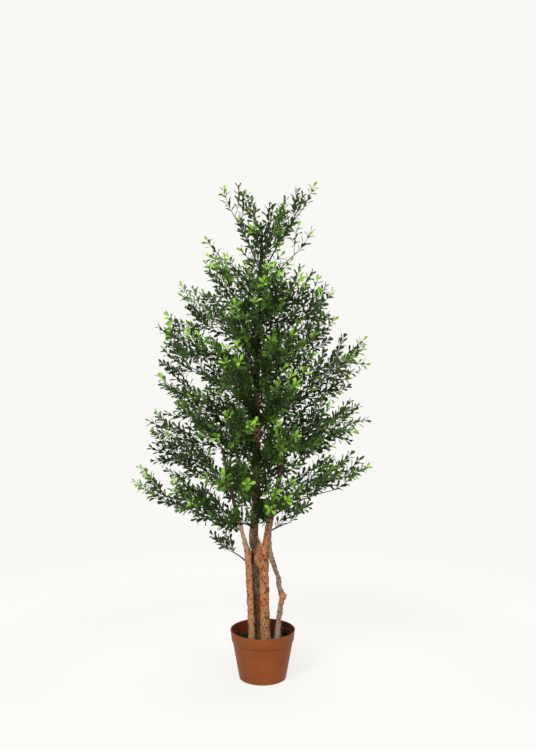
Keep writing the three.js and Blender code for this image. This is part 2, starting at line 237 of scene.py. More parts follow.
def placeGroup(tree, group, inputs):
    return addNode(tree, "ShaderNodeGroup", inputs, node_tree=group).outputs


# bark: long streaks, dark specks and pits, worn patches, pale painted highlights; a noise is its scale,
# detail and roughness
barkGrain = {
    "long": (1, 1, 0.25), "short": (1, 1, 0.55),  # how the pattern is drawn out along the pole
    "streaks": (170, 5, 0.7), "streakRange": (0.36, 0.64), "streakDepth": 0.5,
    "patches": (42, 2, 0.5), "patchRange": (0.44, 0.62),
    "highlightFlecks": (330, 2, 0.5), "highlightFleckRange": (0.6, 0.68),
    "grain": (620, 3, 0.6), "grainDepth": 0.4,
    "pitScale": 230, "crowd": (75, 3, 0.65), "crowdShare": 1.7, "speckShare": 0.6, "speckRange": (-0.06, 0.1),
}


def makeBarkGroup():
    look = barkGrain
    outputs = ("Streaks", "Specks", "HighlightFlecks", "Patches", "Height")
    tree, start, end = newGroup("barkPattern", {"Vector": (0, 0, 0), "Specks": 0.5}, outputs)
    long = addMapping(tree, start["Vector"], look["long"])
    short = addMapping(tree, start["Vector"], look["short"])
    pits = addNode(tree, "ShaderNodeTexVoronoi", {"Vector": short, "Scale": look["pitScale"]})
    crowd = addMath(tree, "SUBTRACT", addNoise(tree, short, *look["crowd"]), 0.5)
    reach = addShares(tree, (start["Specks"], look["speckShare"]), (crowd, look["crowdShare"]))
    specks = addRange(tree, addMath(tree, "SUBTRACT", reach, pits.outputs["Distance"]), *look["speckRange"])
    streaks = addRange(tree, addNoise(tree, long, *look["streaks"]), *look["streakRange"])
    grain = addNoise(tree, long, *look["grain"])
    relief = addShares(tree, (streaks, look["streakDepth"]), (grain, look["grainDepth"]))
    feed(tree, end, {
        "Streaks": streaks,
        "Specks": specks,
        # painted highlights: small pale flecks
        "HighlightFlecks": addRange(tree, addNoise(tree, short, *look["highlightFlecks"]), *look["highlightFleckRange"]),
        "Patches": addRange(tree, addNoise(tree, long, *look["patches"]), *look["patchRange"]),
        "Height": addMath(tree, "SUBTRACT", relief, specks),
    })
    return tree


# soft mottle for the leaves, wires, pot, pale crumbs, torn wood and moss
mottleGrain = {"broad": (2, 0.5), "fine": (3, 0.6), "fineScale": 9.0, "range": (0.3, 0.7)}


def makeMottleGroup():
    look = mottleGrain
    tree, start, end = newGroup("mouldedMottle", {"Vector": (0, 0, 0), "Scale": 60.0}, ("Broad", "Fine"))
    fineScale = addMath(tree, "MULTIPLY", start["Scale"], look["fineScale"])
    broad = addNoise(tree, start["Vector"], start["Scale"], *look["broad"])
    fine = addNoise(tree, start["Vector"], fineScale, *look["fine"])
    for name, value in (("Broad", broad), ("Fine", fine)):
        feed(tree, end, {name: addRange(tree, value, *look["range"])})
    return tree


barkPattern = makeBarkGroup()
mouldedMottle = makeMottleGroup()
spotCore = 0.45  # the share of a spot's reach that has its full colour


# a mask that is 1 at a place and fades to 0 at a distance, sizes in mm
def addSpot(tree, vector, place, reach, stretch):
    middle = [value * mm for value in place]
    fromPlace = addNode(tree, "ShaderNodeVectorMath", {0: vector, 1: middle}, operation="SUBTRACT").outputs[0]
    away = addLength(tree, addMapping(tree, fromPlace, (1, 1, 1 / stretch)))
    return addRange(tree, away, reach * mm * spotCore, reach * mm, 1.0, 0.0)


# crownShade is painted shade: a pole darkens from one height to another, up into the crown that shades it
barks = {
    "warmBark": {
        "base": (0.330, 0.160, 0.070), "streak": (0.50, 0.290, 0.150), "patch": (0.48, 0.180, 0.066),
        "speck": (0.085, 0.034, 0.014), "specks": 0.58, "patches": 0.55,
        "highlightFleck": (0.80, 0.56, 0.36), "highlightFlecks": 0.5,
        "crownShade": (0.048, 0.032, 0.016), "crownShadeFrom": (446, 545),
    },
    "redBark": {
        "base": (0.320, 0.135, 0.052), "streak": (0.48, 0.240, 0.110), "patch": (0.50, 0.160, 0.052),
        "speck": (0.080, 0.030, 0.012), "specks": 0.58, "patches": 0.75,
        "highlightFleck": (0.80, 0.50, 0.29), "highlightFlecks": 0.45,
        "crownShade": (0.052, 0.032, 0.016), "crownShadeFrom": (480, 590),
    },
    "oliveBark": {
        "base": (0.190, 0.118, 0.060), "streak": (0.43, 0.290, 0.180), "patch": (0.150, 0.080, 0.036),
        "speck": (0.045, 0.026, 0.013), "specks": 0.62, "patches": 0.6,
        "highlightFleck": (0.36, 0.25, 0.16), "highlightFlecks": 0.4,
        "crownShade": (0.032, 0.022, 0.012), "crownShadeFrom": (560, 900),
    },
    "greyBark": {
        "base": (0.250, 0.150, 0.088), "streak": (0.380, 0.265, 0.180), "patch": (0.300, 0.165, 0.090),
        "speck": (0.085, 0.048, 0.028), "specks": 0.5, "patches": 0.4,
        "highlightFleck": (0.62, 0.48, 0.38), "highlightFlecks": 0.5,
    },
}
barkSurface = {"speckStrength": 0.85, "roughness": (0.72, 0.9), "specular": 0.3, "bump": (0.9, 0.0014)}


# spots: extra colours at places on one pole, each (place, reach, stretch, colour); some are painted shade
def makeBark(name, kind, spots=()):
    look = barks[kind]
    material, tree, shader, coordinates = blankMaterial(name)
    pattern = placeGroup(tree, barkPattern, {"Vector": coordinates, "Specks": look["specks"]})
    colour = addMix(tree, pattern["Streaks"], look["base"], look["streak"])
    colour = addLayer(tree, pattern["Patches"], look["patches"], colour, look["patch"])
    # painted shade: darker upwards into the crown, where the leaves shade the pole
    if "crownShade" in look:
        height = addNode(tree, "ShaderNodeSeparateXYZ", {0: coordinates}).outputs["Z"]
        low, high = [value * mm for value in look["crownShadeFrom"]]
        colour = addMix(tree, addRange(tree, height, low, high), colour, look["crownShade"])
    for place, reach, stretch, spotColour in spots:
        colour = addMix(tree, addSpot(tree, coordinates, place, reach, stretch), colour, spotColour)
    colour = addLayer(tree, pattern["Specks"], barkSurface["speckStrength"], colour, look["speck"])
    # the pale flecks laid on last are painted highlights
    feed(tree, shader, {
        "Base Color": addLayer(tree, pattern["HighlightFlecks"], look["highlightFlecks"], colour, look["highlightFleck"]),
        "Roughness": addRange(tree, pattern["Streaks"], 0, 1, *barkSurface["roughness"]),
        "Specular IOR Level": barkSurface["specular"],
        "Normal": addBump(tree, pattern["Height"], *barkSurface["bump"]),
    })
    return material


cutWoodLook = {
    "dark": (0.62, 0.36, 0.19), "light": (0.80, 0.55, 0.33), "ringScale": 160, "distortion": 3,
    "ringShare": 0.5, "fibres": (900, 3, 0.6), "fibreShare": 0.5, "roughness": 0.8, "bump": (0.4, 0.0004),
}


def makeCutWood():
    look = cutWoodLook
    material, tree, shader, coordinates = blankMaterial("cutWood")
    rings = addNode(tree, "ShaderNodeTexWave", {
        "Vector": coordinates, "Scale": look["ringScale"], "Distortion": look["distortion"],
    }, wave_type="RINGS", rings_direction="Z").outputs["Fac"]
    fibres = addNoise(tree, coordinates, *look["fibres"])
    shade = addShares(tree, (rings, look["ringShare"]), (fibres, look["fibreShare"]))
    feed(tree, shader, {
        "Base Color": addMix(tree, shade, look["dark"], look["light"]),
        "Roughness": look["roughness"],
        "Normal": addBump(tree, shade, *look["bump"]),
    })
    return material


leafLooks = {
    "deepLeaf": {"slot": "leaf_deep", "upper": (0.022, 0.044, 0.008), "shade": (0.014, 0.029, 0.005),
                 "under": (0.028, 0.048, 0.012)},
    "darkLeaf": {"slot": "leaf_deep", "upper": (0.036, 0.076, 0.011), "shade": (0.024, 0.052, 0.008),
                 "under": (0.042, 0.074, 0.017)},
    "midLeaf": {"slot": "leaf_mid", "upper": (0.062, 0.134, 0.016), "shade": (0.044, 0.098, 0.011),
                "under": (0.068, 0.120, 0.024)},
    "freshLeaf": {"slot": "leaf_fresh", "upper": (0.118, 0.275, 0.026), "shade": (0.090, 0.205, 0.017),
                  "under": (0.135, 0.235, 0.038)},
    "tipLeaf": {"slot": "leaf_fresh", "upper": (0.215, 0.440, 0.054), "shade": (0.250, 0.440, 0.036),
                "under": (0.310, 0.450, 0.070)},
}
leafSurface = {"mottle": 55, "roughness": (0.45, 0.6), "specular": 0.25, "bump": (0.25, 0.0003)}


def makeLeafMaterial(name):
    look = leafLooks[name]
    material, tree, shader, coordinates = blankMaterial(name)
    mottle = placeGroup(tree, mouldedMottle, {"Vector": coordinates, "Scale": leafSurface["mottle"]})
    upper = addMix(tree, mottle["Broad"], look["shade"], look["upper"])
    backfacing = addNode(tree, "ShaderNodeNewGeometry").outputs["Backfacing"]
    feed(tree, shader, {
        "Base Color": addMix(tree, backfacing, upper, look["under"]),
        "Roughness": addRange(tree, mottle["Fine"], 0, 1, *leafSurface["roughness"]),
        "Specular IOR Level": leafSurface["specular"],
        "Normal": addBump(tree, mottle["Fine"], *leafSurface["bump"]),
    })
    return material


mottledLooks = {
    "branchWire": {"light": (0.060, 0.045, 0.024), "dark": (0.026, 0.022, 0.012), "scale": 70,
                   "roughness": 0.62, "bump": (0.4, 0.0003)},
    "sprigStem": {"light": (0.040, 0.062, 0.020), "dark": (0.020, 0.034, 0.011), "scale": 70,
                  "roughness": 0.5, "bump": (0.4, 0.0003)},
    "paleCrumb": {"light": (0.62, 0.50, 0.42), "dark": (0.36, 0.27, 0.21), "scale": 300,
                  "roughness": 0.9, "bump": (0.5, 0.0006)},
    "tornWood": {"light": (0.84, 0.56, 0.30), "dark": (0.66, 0.36, 0.15), "scale": 260,
                 "roughness": 0.8, "bump": (0.5, 0.0006)},
    "mossGreen": {"light": (0.020, 0.050, 0.022), "dark": (0.005, 0.018, 0.010), "scale": 160,
                  "roughness": 0.85, "bump": (0.5, 0.0006)},
}


def makeMottled(name):
    look = mottledLooks[name]
    material, tree, shader, coordinates = blankMaterial(name)
    mottle = placeGroup(tree, mouldedMottle, {"Vector": coordinates, "Scale": look["scale"]})
    feed(tree, shader, {
        "Base Color": addMix(tree, mottle["Broad"], look["dark"], look["light"]),
        "Roughness": look["roughness"],
        "Normal": addBump(tree, mottle["Fine"], *look["bump"]),
    })
    return material


# the inside is a darker copy of the plastic for painted shade, most of all on the right; the line is a
# painted shadow under the collar
potLooks = {
    "potPlastic": {
        "plastic": (0.252, 0.061, 0.010), "worn": (0.272, 0.072, 0.015), "dust": (0.30, 0.13, 0.060),
        # edge is the colour of a painted sheen, where the pot is seen at a grazing angle
        "shade": (0.150, 0.036, 0.009), "lineAt": 114.8, "lineHalf": 2.6, "edge": (0.38, 0.180, 0.100),
    },
    "potInsideShaded": {
        "plastic": (0.150, 0.030, 0.008), "worn": (0.165, 0.036, 0.010), "dust": (0.19, 0.07, 0.032),
        "shade": (0.066, 0.019, 0.008), "shadeFrom": (-25, 62),
    },
}
potSurface = {
    "mottle": 22, "roughness": (0.42, 0.52), "specular": 0.28, "bump": (0.12, 0.0003),
    "scuffStretch": (1, 1, 7), "scuffs": (46, 4, 0.7), "scuffRange": (0.6, 0.8), "dustStrength": 0.3,
    "lineStrength": 0.75, "edgeBlend": 0.35, "edgeRange": (0.3, 0.9), "edgeStrength": 0.7,
}


def makePotMaterial(name):
    look, surface = potLooks[name], potSurface
    material, tree, shader, coordinates = blankMaterial(name)
    mottle = placeGroup(tree, mouldedMottle, {"Vector": coordinates, "Scale": surface["mottle"]})
    scuffs = addNoise(tree, addMapping(tree, coordinates, surface["scuffStretch"]), *surface["scuffs"])
    dusty = addRange(tree, scuffs, *surface["scuffRange"])
    colour = addMix(tree, mottle["Broad"], look["plastic"], look["worn"])
    colour = addLayer(tree, dusty, surface["dustStrength"], colour, look["dust"])
    place = addNode(tree, "ShaderNodeSeparateXYZ", {0: coordinates}).outputs
    # painted shade: a dark line under the collar outside, and darker towards the right inside
    if "lineAt" in look:
        away = addMath(tree, "ABSOLUTE", addMath(tree, "SUBTRACT", place["Z"], look["lineAt"] * mm))
        shaded = addRange(tree, away, 0, look["lineHalf"] * mm, surface["lineStrength"], 0.0)
    else:
        left, right = look["shadeFrom"]
        shaded = addRange(tree, place["X"], left * mm, right * mm)
    colour = addMix(tree, shaded, colour, look["shade"])
    # painted sheen: lighter where the pot is seen at a grazing angle
    if "edge" in look:
        facing = addNode(tree, "ShaderNodeLayerWeight", {"Blend": surface["edgeBlend"]}).outputs["Facing"]
        grazing = addRange(tree, facing, *surface["edgeRange"], 0, surface["edgeStrength"])
        colour = addMix(tree, grazing, colour, look["edge"])
    feed(tree, shader, {
        "Base Color": colour,
        "Roughness": addRange(tree, mottle["Fine"], 0, 1, *surface["roughness"]),
        "Specular IOR Level": surface["specular"],
        "Normal": addBump(tree, mottle["Fine"], *surface["bump"]),
    })
    return material


fillLook = {
    "dark": (0.008, 0.006, 0.004), "brown": (0.045, 0.028, 0.016), "grit": (0.11, 0.085, 0.06),
    "lumps": (180, 4, 0.65), "lumpRange": (0.36, 0.66), "grits": (700, 2, 0.5), "gritRange": (0.66, 0.74),
    "roughness": 0.95, "bump": (0.8, 0.0015),
}


def makeFillMaterial():
    look = fillLook
    material, tree, shader, coordinates = blankMaterial("darkDressing")
    lumps = addRange(tree, addNoise(tree, coordinates, *look["lumps"]), *look["lumpRange"])
    grit = addRange(tree, addNoise(tree, coordinates, *look["grits"]), *look["gritRange"])
    feed(tree, shader, {
        "Base Color": addMix(tree, grit, addMix(tree, lumps, look["dark"], look["brown"]), look["grit"]),
        "Roughness": look["roughness"],
        "Normal": addBump(tree, lumps, *look["bump"]),
    })
    return material


print("patterns made")


# modelling helpers

def raiseRings(name, sides, rings):
    deselectAll()
    x, y, z, radius = rings[0]
    bpy.ops.mesh.primitive_circle_add(
        vertices=sides, radius=radius * mm, fill_type="NGON", location=(x * mm, y * mm, z * mm)
    )
    piece = bpy.context.active_object
    piece.name = name
    piece.data.name = name
    bpy.ops.object.mode_set(mode="EDIT")
    bpy.ops.mesh.select_mode(type="FACE")
    bpy.ops.mesh.select_all(action="SELECT")
    for (oldX, oldY, oldZ, oldRadius), (x, y, z, radius) in zip(rings, rings[1:]):
        step = ((x - oldX) * mm, (y - oldY) * mm, (z - oldZ) * mm)
        bpy.ops.mesh.extrude_region_move(TRANSFORM_OT_translate={"value": step})
        share = radius / oldRadius
        bpy.ops.transform.resize(value=(share, share, 1), center_override=(x * mm, y * mm, z * mm))
    bpy.ops.mesh.select_all(action="SELECT")
    bpy.ops.mesh.normals_make_consistent(inside=False)
    bpy.ops.object.mode_set(mode="OBJECT")
    bpy.ops.object.transform_apply(location=True, rotation=True, scale=True)
    return piece


def addModifier(piece, kind, **values):
    pick(piece)
    modifier = piece.modifiers.new(kind.lower(), kind)
    for key, value in values.items():
        setattr(modifier, key, value)
    bpy.ops.object.modifier_apply(modifier=modifier.name)


def subdivide(piece, levels):
    addModifier(piece, "SUBSURF", levels=levels, render_levels=levels)


# moves the surface by a texture, whose darkest and brightest places lie the depth apart
def displace(piece, name, kind, scale, depth, **values):
    texture = bpy.data.textures.new(name, kind)
    texture.noise_scale = scale
    addModifier(piece, "DISPLACE", texture=texture, strength=depth * mm, **values)


def smooth(piece, angle):
    pick(piece)
    bpy.ops.object.shade_smooth_by_angle(angle=math.radians(angle))


def verticesOf(piece, what="co"):
    values = np.zeros(len(piece.data.vertices) * 3)
    piece.data.vertices.foreach_get(what, values)
    return values.reshape(-1, 3)


def moveVertices(piece, places):
    piece.data.vertices.foreach_set("co", places.ravel())
    piece.data.update()


def newPiece(name, mesh):
    piece = bpy.data.objects.new(name, mesh)
    bpy.context.scene.collection.objects.link(piece)
    return piece


def finishPiece(piece, slot, nodes=()):
    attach(piece, "root")
    if nodes:
        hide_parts(*nodes)


# pot: one closed shell, raised up the outside and down the inside

pot = {
    "sides": 96,
    "smoothAngle": 38,
    "floor": 4,
    "insideTo": 149.5,
    "profile": [
        (6, 0.9), (7, 0.4), (57, 0.4), (58.5, 1.2), (62.5, 1.2), (64, 0), (69, 0), (70.9, 1.0), (71.7, 3.4),
        (81.2, 58), (91.4, 115.2), (91.8, 116.6), (92.6, 117.3), (93.7, 118.1), (94.4, 119.4),
        (96.3, 137), (97.3, 148.6), (98.1, 149.4), (98.4, 150.4), (98.1, 151.4), (97.2, 152),
        (96.1, 151.9), (95.5, 151.2), (95.2, 149.8), (89.6, 117.4), (71.4, 7.2), (69.4, 4.4), (66, 4), (8, 4),
    ],
}


def makePot():
    rings = [(0, 0, height, radius) for radius, height in pot["profile"]]
    piece = raiseRings("potShell", pot["sides"], rings)
    smooth(piece, pot["smoothAngle"])
    for name in potLooks:
        piece.data.materials.append(makePotMaterial(name))
    # the inner wall takes the darker copy, painted shade
    for polygon in piece.data.polygons:
        (x, y, z), facing = polygon.center, polygon.normal
        if x * facing[0] + y * facing[1] < 0 and pot["floor"] < z / mm < pot["insideTo"]:
            polygon.material_index = 1
    finishPiece(piece, "pot_plastic", ["pot"])


makePot()
print("pot made")


# fill: dark lumpy dressing over the ballast, with crumbs and a moss patch

fill = {
    "sides": 72,
    "height": 114,
    "bottom": 4.3,
    "bottomRadius": 70.6,
    "topRadius": 88.6,
    "edge": 5,
    "edgeInset": 0.9,
    "rings": 26,
    "ringsInset": 0.8,
    "ringsBelow": 1.5,
    "sunk": 1.6,
    "swell": 1.1, "swellLength": 17, "swellStart": 1.0,
    "rimBand": 16, "rimFall": 1.6,
    "relief": [("dressingLumps", 0.012, 2.6), ("dressingGrit", 0.004, 1.6)],
    "reliefMiddle": 0.6,
    "smoothAngle": 60,
    "dressingCrumbs": {"count": 520, "small": 1.2, "large": 3.6, "seed": 7, "inset": 4, "above": 0.4},
    "wallCrumbs": {"count": 11, "small": 0.8, "large": 1.9, "seed": 4, "turn": (33, 24), "above": 2,
                   "rise": 22, "bias": 1.5, "wall": (89.6, 117.4), "wallSlope": 0.173, "sunk": 0.6},
    "paleCrumbs": {"count": 80, "small": 0.8, "large": 2.0, "seed": 11, "inset": 4, "above": 0.9,
                   "heaps": [(36, 9, 16, 8), (62, 9, 30, 12)], "firstHeap": 0.6},
    "moss": {"place": (-56, 46), "reach": 26, "squash": 0.8, "inset": 3, "tufts": 900, "seed": 5,
             "mound": 2.2, "tall": (2.5, 3), "wide": (0.5, 0.4), "lean": 2, "sunk": 1.5},
}
# pairs are the least and how much more there may be
crumb = {"smallness": 2.2, "lumpy": (0.7, 0.6), "narrow": (0.6, 0.5), "flat": 0.7}


# a random value from the first number to the sum of both
def vary(random, pair):
    least, more = pair
    return least + more * random.random()


# three crossed waves, each its share of the height
def swellAt(x, y):
    length, start = fill["swellLength"], fill["swellStart"]
    return (
        math.sin(x / length + start) * math.cos(y / length * 1.3 - start)
        + 0.6 * math.sin((x + y) / length * 2.1 + 2 * start)
        + 0.4 * math.cos((x - 1.7 * y) / length * 3.3 + 3 * start)
    ) / 2


def fillHeight(x, y):
    nearRim = max(0.0, math.hypot(x, y) - (fill["topRadius"] - fill["rimBand"])) / fill["rimBand"]
    return fill["height"] - fill["sunk"] + fill["swell"] * swellAt(x, y) - fill["rimFall"] * nearRim


def makeFill():
    steps, edgeHeight = fill["rings"], fill["height"] - fill["edge"]
    rings = [(0, 0, fill["bottom"], fill["bottomRadius"]),
             (0, 0, edgeHeight, fill["topRadius"] - fill["edgeInset"])]
    topHeight, topRadius = fill["height"] - fill["ringsBelow"], fill["topRadius"] - fill["ringsInset"]
    rings += [(0, 0, topHeight, topRadius * (1 - i / steps)) for i in range(steps)]
    piece = raiseRings("potDressing", fill["sides"], rings)
    places = verticesOf(piece) / mm
    for place in places:
        if place[2] > (edgeHeight + topHeight) / 2:
            place[2] = fillHeight(place[0], place[1])
    moveVertices(piece, places * mm)
    for name, scale, depth in fill["relief"]:
        displace(piece, name, "CLOUDS", scale, depth, texture_coords="LOCAL", direction="Z",
                 mid_level=fill["reliefMiddle"])
    places = verticesOf(piece) / mm
    places[:, 2] = np.clip(places[:, 2], fill["bottom"], None)
    moveVertices(piece, places * mm)
    smooth(piece, fill["smoothAngle"])
    piece.data.materials.append(makeFillMaterial())
    finishPiece(piece, "fill", ["pot_fill"])
    return piece


def makeCrumbs(name, material, placeAt):
    plan = fill[name]
    deselectAll()
    random = np.random.default_rng(plan["seed"])
    bpy.ops.mesh.primitive_ico_sphere_add(subdivisions=1, radius=1)
    first = bpy.context.active_object
    first.name = name
    base = verticesOf(first)
    faces = [list(polygon.vertices) for polygon in first.data.polygons]
    vertices, allFaces = [], []
    for i in range(plan["count"]):
        middle = placeAt(random, plan)
        size = plan["small"] + (plan["large"] - plan["small"]) * random.random() ** crumb["smallness"]
        least, more = crumb["lumpy"]
        lumpy = base * (least + more * random.random((len(base), 1)))
        lumpy = lumpy * (1, vary(random, crumb["narrow"]), crumb["flat"])
        turn = random.random() * 2 * pi
        cosine, sine = math.cos(turn), math.sin(turn)
        turned = lumpy @ np.array([[cosine, sine, 0], [-sine, cosine, 0], [0, 0, 1]])
        allFaces += [[corner + i * len(base) for corner in face] for face in faces]
        vertices.append((turned * size + middle) * mm)
    mesh = bpy.data.meshes.new(name)
    mesh.from_pydata(np.concatenate(vertices).tolist(), [], allFaces)
    first.data = mesh
    mesh.materials.append(material)
    finishPiece(first, "fill")


def anywhereOnFill(random, plan):
    reach = (fill["topRadius"] - plan["inset"]) * math.sqrt(random.random())
    turn = random.random() * 2 * pi
    x, y = reach * math.cos(turn), reach * math.sin(turn)
    return x, y, fillHeight(x, y) + plan["above"]


# two heaps: each x and its spread, then y and its spread
def nearCrookedFoot(random, plan):
    middleX, spreadX, middleY, spreadY = plan["heaps"][0 if random.random() < plan["firstHeap"] else 1]
    x = middleX + spreadX * random.standard_normal()
    y = middleY + spreadY * random.standard_normal()
    reach = min(1.0, (fill["topRadius"] - plan["inset"]) / math.hypot(x, y))
    return x * reach, y * reach, fillHeight(x * reach, y * reach) + plan["above"]


# flecks that cling to the inner wall behind the crooked pole
def onWall(random, plan):
    turn = math.radians(vary(random, plan["turn"]))
    z = fill["height"] + plan["above"] + plan["rise"] * random.random() ** plan["bias"]
    radius, height = plan["wall"]
    reach = radius + (z - height) * plan["wallSlope"] - plan["sunk"]
    return reach * math.cos(turn), reach * math.sin(turn), z


# a tuft is a thin pyramid: three corners and a tip
tuftFaces = ((0, 1, 3), (1, 2, 3), (2, 0, 3), (0, 2, 1))


def makeMoss():
    plan = fill["moss"]
    random = np.random.default_rng(plan["seed"])
    vertices, faces = [], []
    for i in range(plan["tufts"]):
        away = plan["reach"] * math.sqrt(random.random())
        turn = random.random() * 2 * pi
        x = plan["place"][0] + away * math.cos(turn)
        y = plan["place"][1] + plan["squash"] * away * math.sin(turn)
        if math.hypot(x, y) > fill["topRadius"] - plan["inset"]:
            continue
        z = fillHeight(x, y) + plan["mound"] * (1 - (away / plan["reach"]) ** 2)
        lean = random.random() * 2 * pi
        tall, wide = vary(random, plan["tall"]), vary(random, plan["wide"])
        start = len(vertices)
        for side in range(3):
            corner = lean + side * 2 * pi / 3
            vertices.append((x + wide * math.cos(corner), y + wide * math.sin(corner), z - plan["sunk"]))
        vertices.append((x + plan["lean"] * math.cos(lean), y + plan["lean"] * math.sin(lean), z + tall))
        faces += [[start + corner for corner in face] for face in tuftFaces]
    mesh = bpy.data.meshes.new("mossPatch")
    mesh.from_pydata((np.array(vertices) * mm).tolist(), [], faces)
    mesh.materials.append(makeMottled("mossGreen"))
    finishPiece(newPiece("mossPatch", mesh), "leaf_deep")


dressing = makeFill()
paleCrumb = makeMottled("paleCrumb")
makeCrumbs("dressingCrumbs", dressing.data.materials[0], anywhereOnFill)
makeCrumbs("paleCrumbs", paleCrumb, nearCrookedFoot)
makeCrumbs("wallCrumbs", paleCrumb, onWall)
makeMoss()
print("fill made")


# poles: the part's own sections, x, y, height and radius

clearance = 0.3  # between two solids of the part that rest on each other
poleFoot = fill["height"] + clearance
flare = {"share": 0.16, "height": 26}
knotTop = 262
poles = {
    "left": {
        "steps": 17, "flared": True,
        "sections": [(-33, -4, poleFoot, 9.8), (-40, -4, 300, 9.6), (-46, -6, 392, 9.2), (-60, -12, 450, 6.4),
                     (-84, -28, 545, 5.8), (-118, -52, 716, 4)],
    },
    "centre": {
        "steps": 20, "flared": True,
        "sections": [(-16, 24, poleFoot, 14.2), (-22, 24, 366, 13.8), (-27, 21, 430, 13.4),
                     (-19, 17, 570, 12.2), (-18, 10, 757, 10.6), (-15, 4, 1017, 7.8), (-5, 2, 1230, 4.6),
                     (-1, 0, 1339, 3)],
    },
    "right": {
        "steps": 16, "flared": True,
        "sections": [(8, -8, poleFoot, 14), (4, -8, 335, 13.6), (8, -8, 400, 11.2), (18, -10, 470, 10),
                     (34, -13, 540, 8.6), (62, -20, 688, 5.6)],
    },
    "crookedFoot": {
        "steps": 7, "flared": True,
        "sections": [(44, 6, poleFoot, 9.2), (49, 6, 179, 7.8), (55, 4, 226, 8), (60, 2, 249, 10),
                     (58, 0, knotTop, 9)],
    },
    "crooked": {
        "steps": 12, "flared": False,
        "sections": [(58, 0, knotTop + clearance, 9), (49, -5, 291, 7.6), (46, -11, 318, 7.6),
                     (36, -19, 352, 7.6), (25, -28, 390, 7.2), (20, -34, 430, 6.6), (22, -38, 520, 5)],
    },
}


# a Catmull-Rom spline through the sections, at a share of the whole row
def sectionAt(sections, share):
    rows = [np.array(section, float) for section in sections]
    last = len(rows) - 1
    place = min(max(share, 0), 1) * last
    index = min(int(place), last - 1)
    t = place - index
    b, c = rows[index], rows[index + 1]
    a = rows[index - 1] if index > 0 else 2 * b - c
    d = rows[index + 2] if index + 2 <= last else 2 * c - b
    leave, arrive = (c - a) / 2, (d - b) / 2
    cubic = 2 * b - 2 * c + leave + arrive
    square = 3 * c - 3 * b - 2 * leave - arrive
    return b + t * (leave + t * (square + t * cubic))


def flareAt(height):
    return 1 + flare["share"] * math.exp((poleFoot - height) / flare["height"])


def poleRings(pole, steps=None):
    sections = pole["sections"]
    count = steps or pole["steps"]
    shares = [step / count for step in range(count + 1)]
    if pole["flared"] and steps is None:
        shares.insert(1, flare["height"] / ((sections[1][2] - sections[0][2]) * (len(sections) - 1)))
    rings = []
    for share in shares:
        x, y, z, radius = sectionAt(sections, share)
        rings.append((x, y, z, radius * (flareAt(z) if pole["flared"] else 1)))
    return rings


for pole in poles.values():
    pole["rings"] = np.array(poleRings(pole))


def poleAt(pole, height):
    rings = pole["rings"]
    if height <= rings[0][2]:
        return rings[0]
    if height >= rings[-1][2]:
        return rings[-1]
    index = int(np.argmax(rings[:, 2] > height)) - 1
    low, high = rings[index], rings[index + 1]
    return low + (high - low) * (height - low[2]) / (high[2] - low[2])


bark = {
    "sides": 14,
    "levels": 2,
    "swell": 1.05,  # makes up for what the subdivision takes off the radius
    "spacing": 10,
    "stretch": 1.7,
    "relief": [("barkBumps", "CLOUDS", 0.024, 4.2), ("barkRidges", "CLOUDS", 0.009, 3.4),
               ("barkPits", "VORONOI", 0.0055, 2.4)],
    "reliefMiddle": 0.5,
    "footGuard": 1.2, "tipGuard": 0.6,  # rings that keep the ends square under the subdivision
    "lipWidth": 0.32, "eyeWidth": 0.62,
    "smoothAngle": 55,
}


def roughenBark(piece, strength=1.0):
    deselectAll()
    bpy.ops.object.empty_add(location=(0, 0, 0))
    stretcher = bpy.context.active_object
    stretcher.scale = (1, 1, bark["stretch"])
    bpy.context.view_layer.update()
    for name, kind, scale, depth in bark["relief"]:
        displace(piece, name, kind, scale, depth * strength, texture_coords="OBJECT",
                 texture_coords_object=stretcher, mid_level=bark["reliefMiddle"])
    bpy.data.objects.remove(stretcher)


# knots: (place, radius, depth of the eye, height of the lip round it)
def pressKnots(piece, knots):
    places, normals = verticesOf(piece), verticesOf(piece, "normal")
    for place, radius, depth, lip in knots:
        away = np.linalg.norm(places - np.array(place) * mm, axis=1) / (radius * mm)
        move = lip * np.exp(-(((away - 1) / bark["lipWidth"]) ** 2))
        move = move - depth * np.exp(-((away / bark["eyeWidth"]) ** 2))
        places = places + normals * (move * mm)[:, None]
    moveVertices(piece, places)


cutFace = {"facing": 0.995, "within": 2e-4}  # which faces count as the cut


# cuts the top off square to a direction and gives the cut its own material; no part of the direction may be
# over 1, because bisect takes it as 1
def cutTop(piece, place, direction):
    pick(piece)
    bpy.ops.object.mode_set(mode="EDIT")
    bpy.ops.mesh.select_all(action="SELECT")
    middle = np.array(place) * mm
    bpy.ops.mesh.bisect(plane_co=middle.tolist(), plane_no=direction, use_fill=True, clear_outer=True)
    bpy.ops.object.mode_set(mode="OBJECT")
    along = np.array(direction) / np.linalg.norm(direction)
    for polygon in piece.data.polygons:
        off = abs(np.dot(np.array(polygon.center) - middle, along))
        if np.dot(polygon.normal, along) > cutFace["facing"] and off < cutFace["within"]:
            polygon.material_index = 1


def makeLimb(name, rings, material, slot, nodes=(), knots=(), relief=1.0, cut=None):
    widened = [(x, y, z, radius * bark["swell"]) for x, y, z, radius in rings]
    foot, tip = widened[0], widened[-1]
    widened.insert(1, (foot[0], foot[1], foot[2] + bark["footGuard"], foot[3]))
    widened.insert(-1, (tip[0], tip[1], tip[2] - bark["tipGuard"], tip[3]))
    piece = raiseRings(name, bark["sides"], widened)
    subdivide(piece, bark["levels"])
    roughenBark(piece, relief)
    if knots:
        pressKnots(piece, knots)
    piece.data.materials.append(material)
    piece.data.materials.append(cutWood)
    if cut:
        cutTop(piece, *cut)
    places = verticesOf(piece)
    places[:, 2] = np.maximum(places[:, 2], rings[0][2] * mm)
    moveVertices(piece, places)
    smooth(piece, bark["smoothAngle"])
    finishPiece(piece, slot, nodes)


def evenRings(pole):
    sections = pole["sections"]
    steps = int((sections[-1][2] - sections[0][2]) / bark["spacing"])
    return poleRings(pole, steps)


cutWood = makeCutWood()

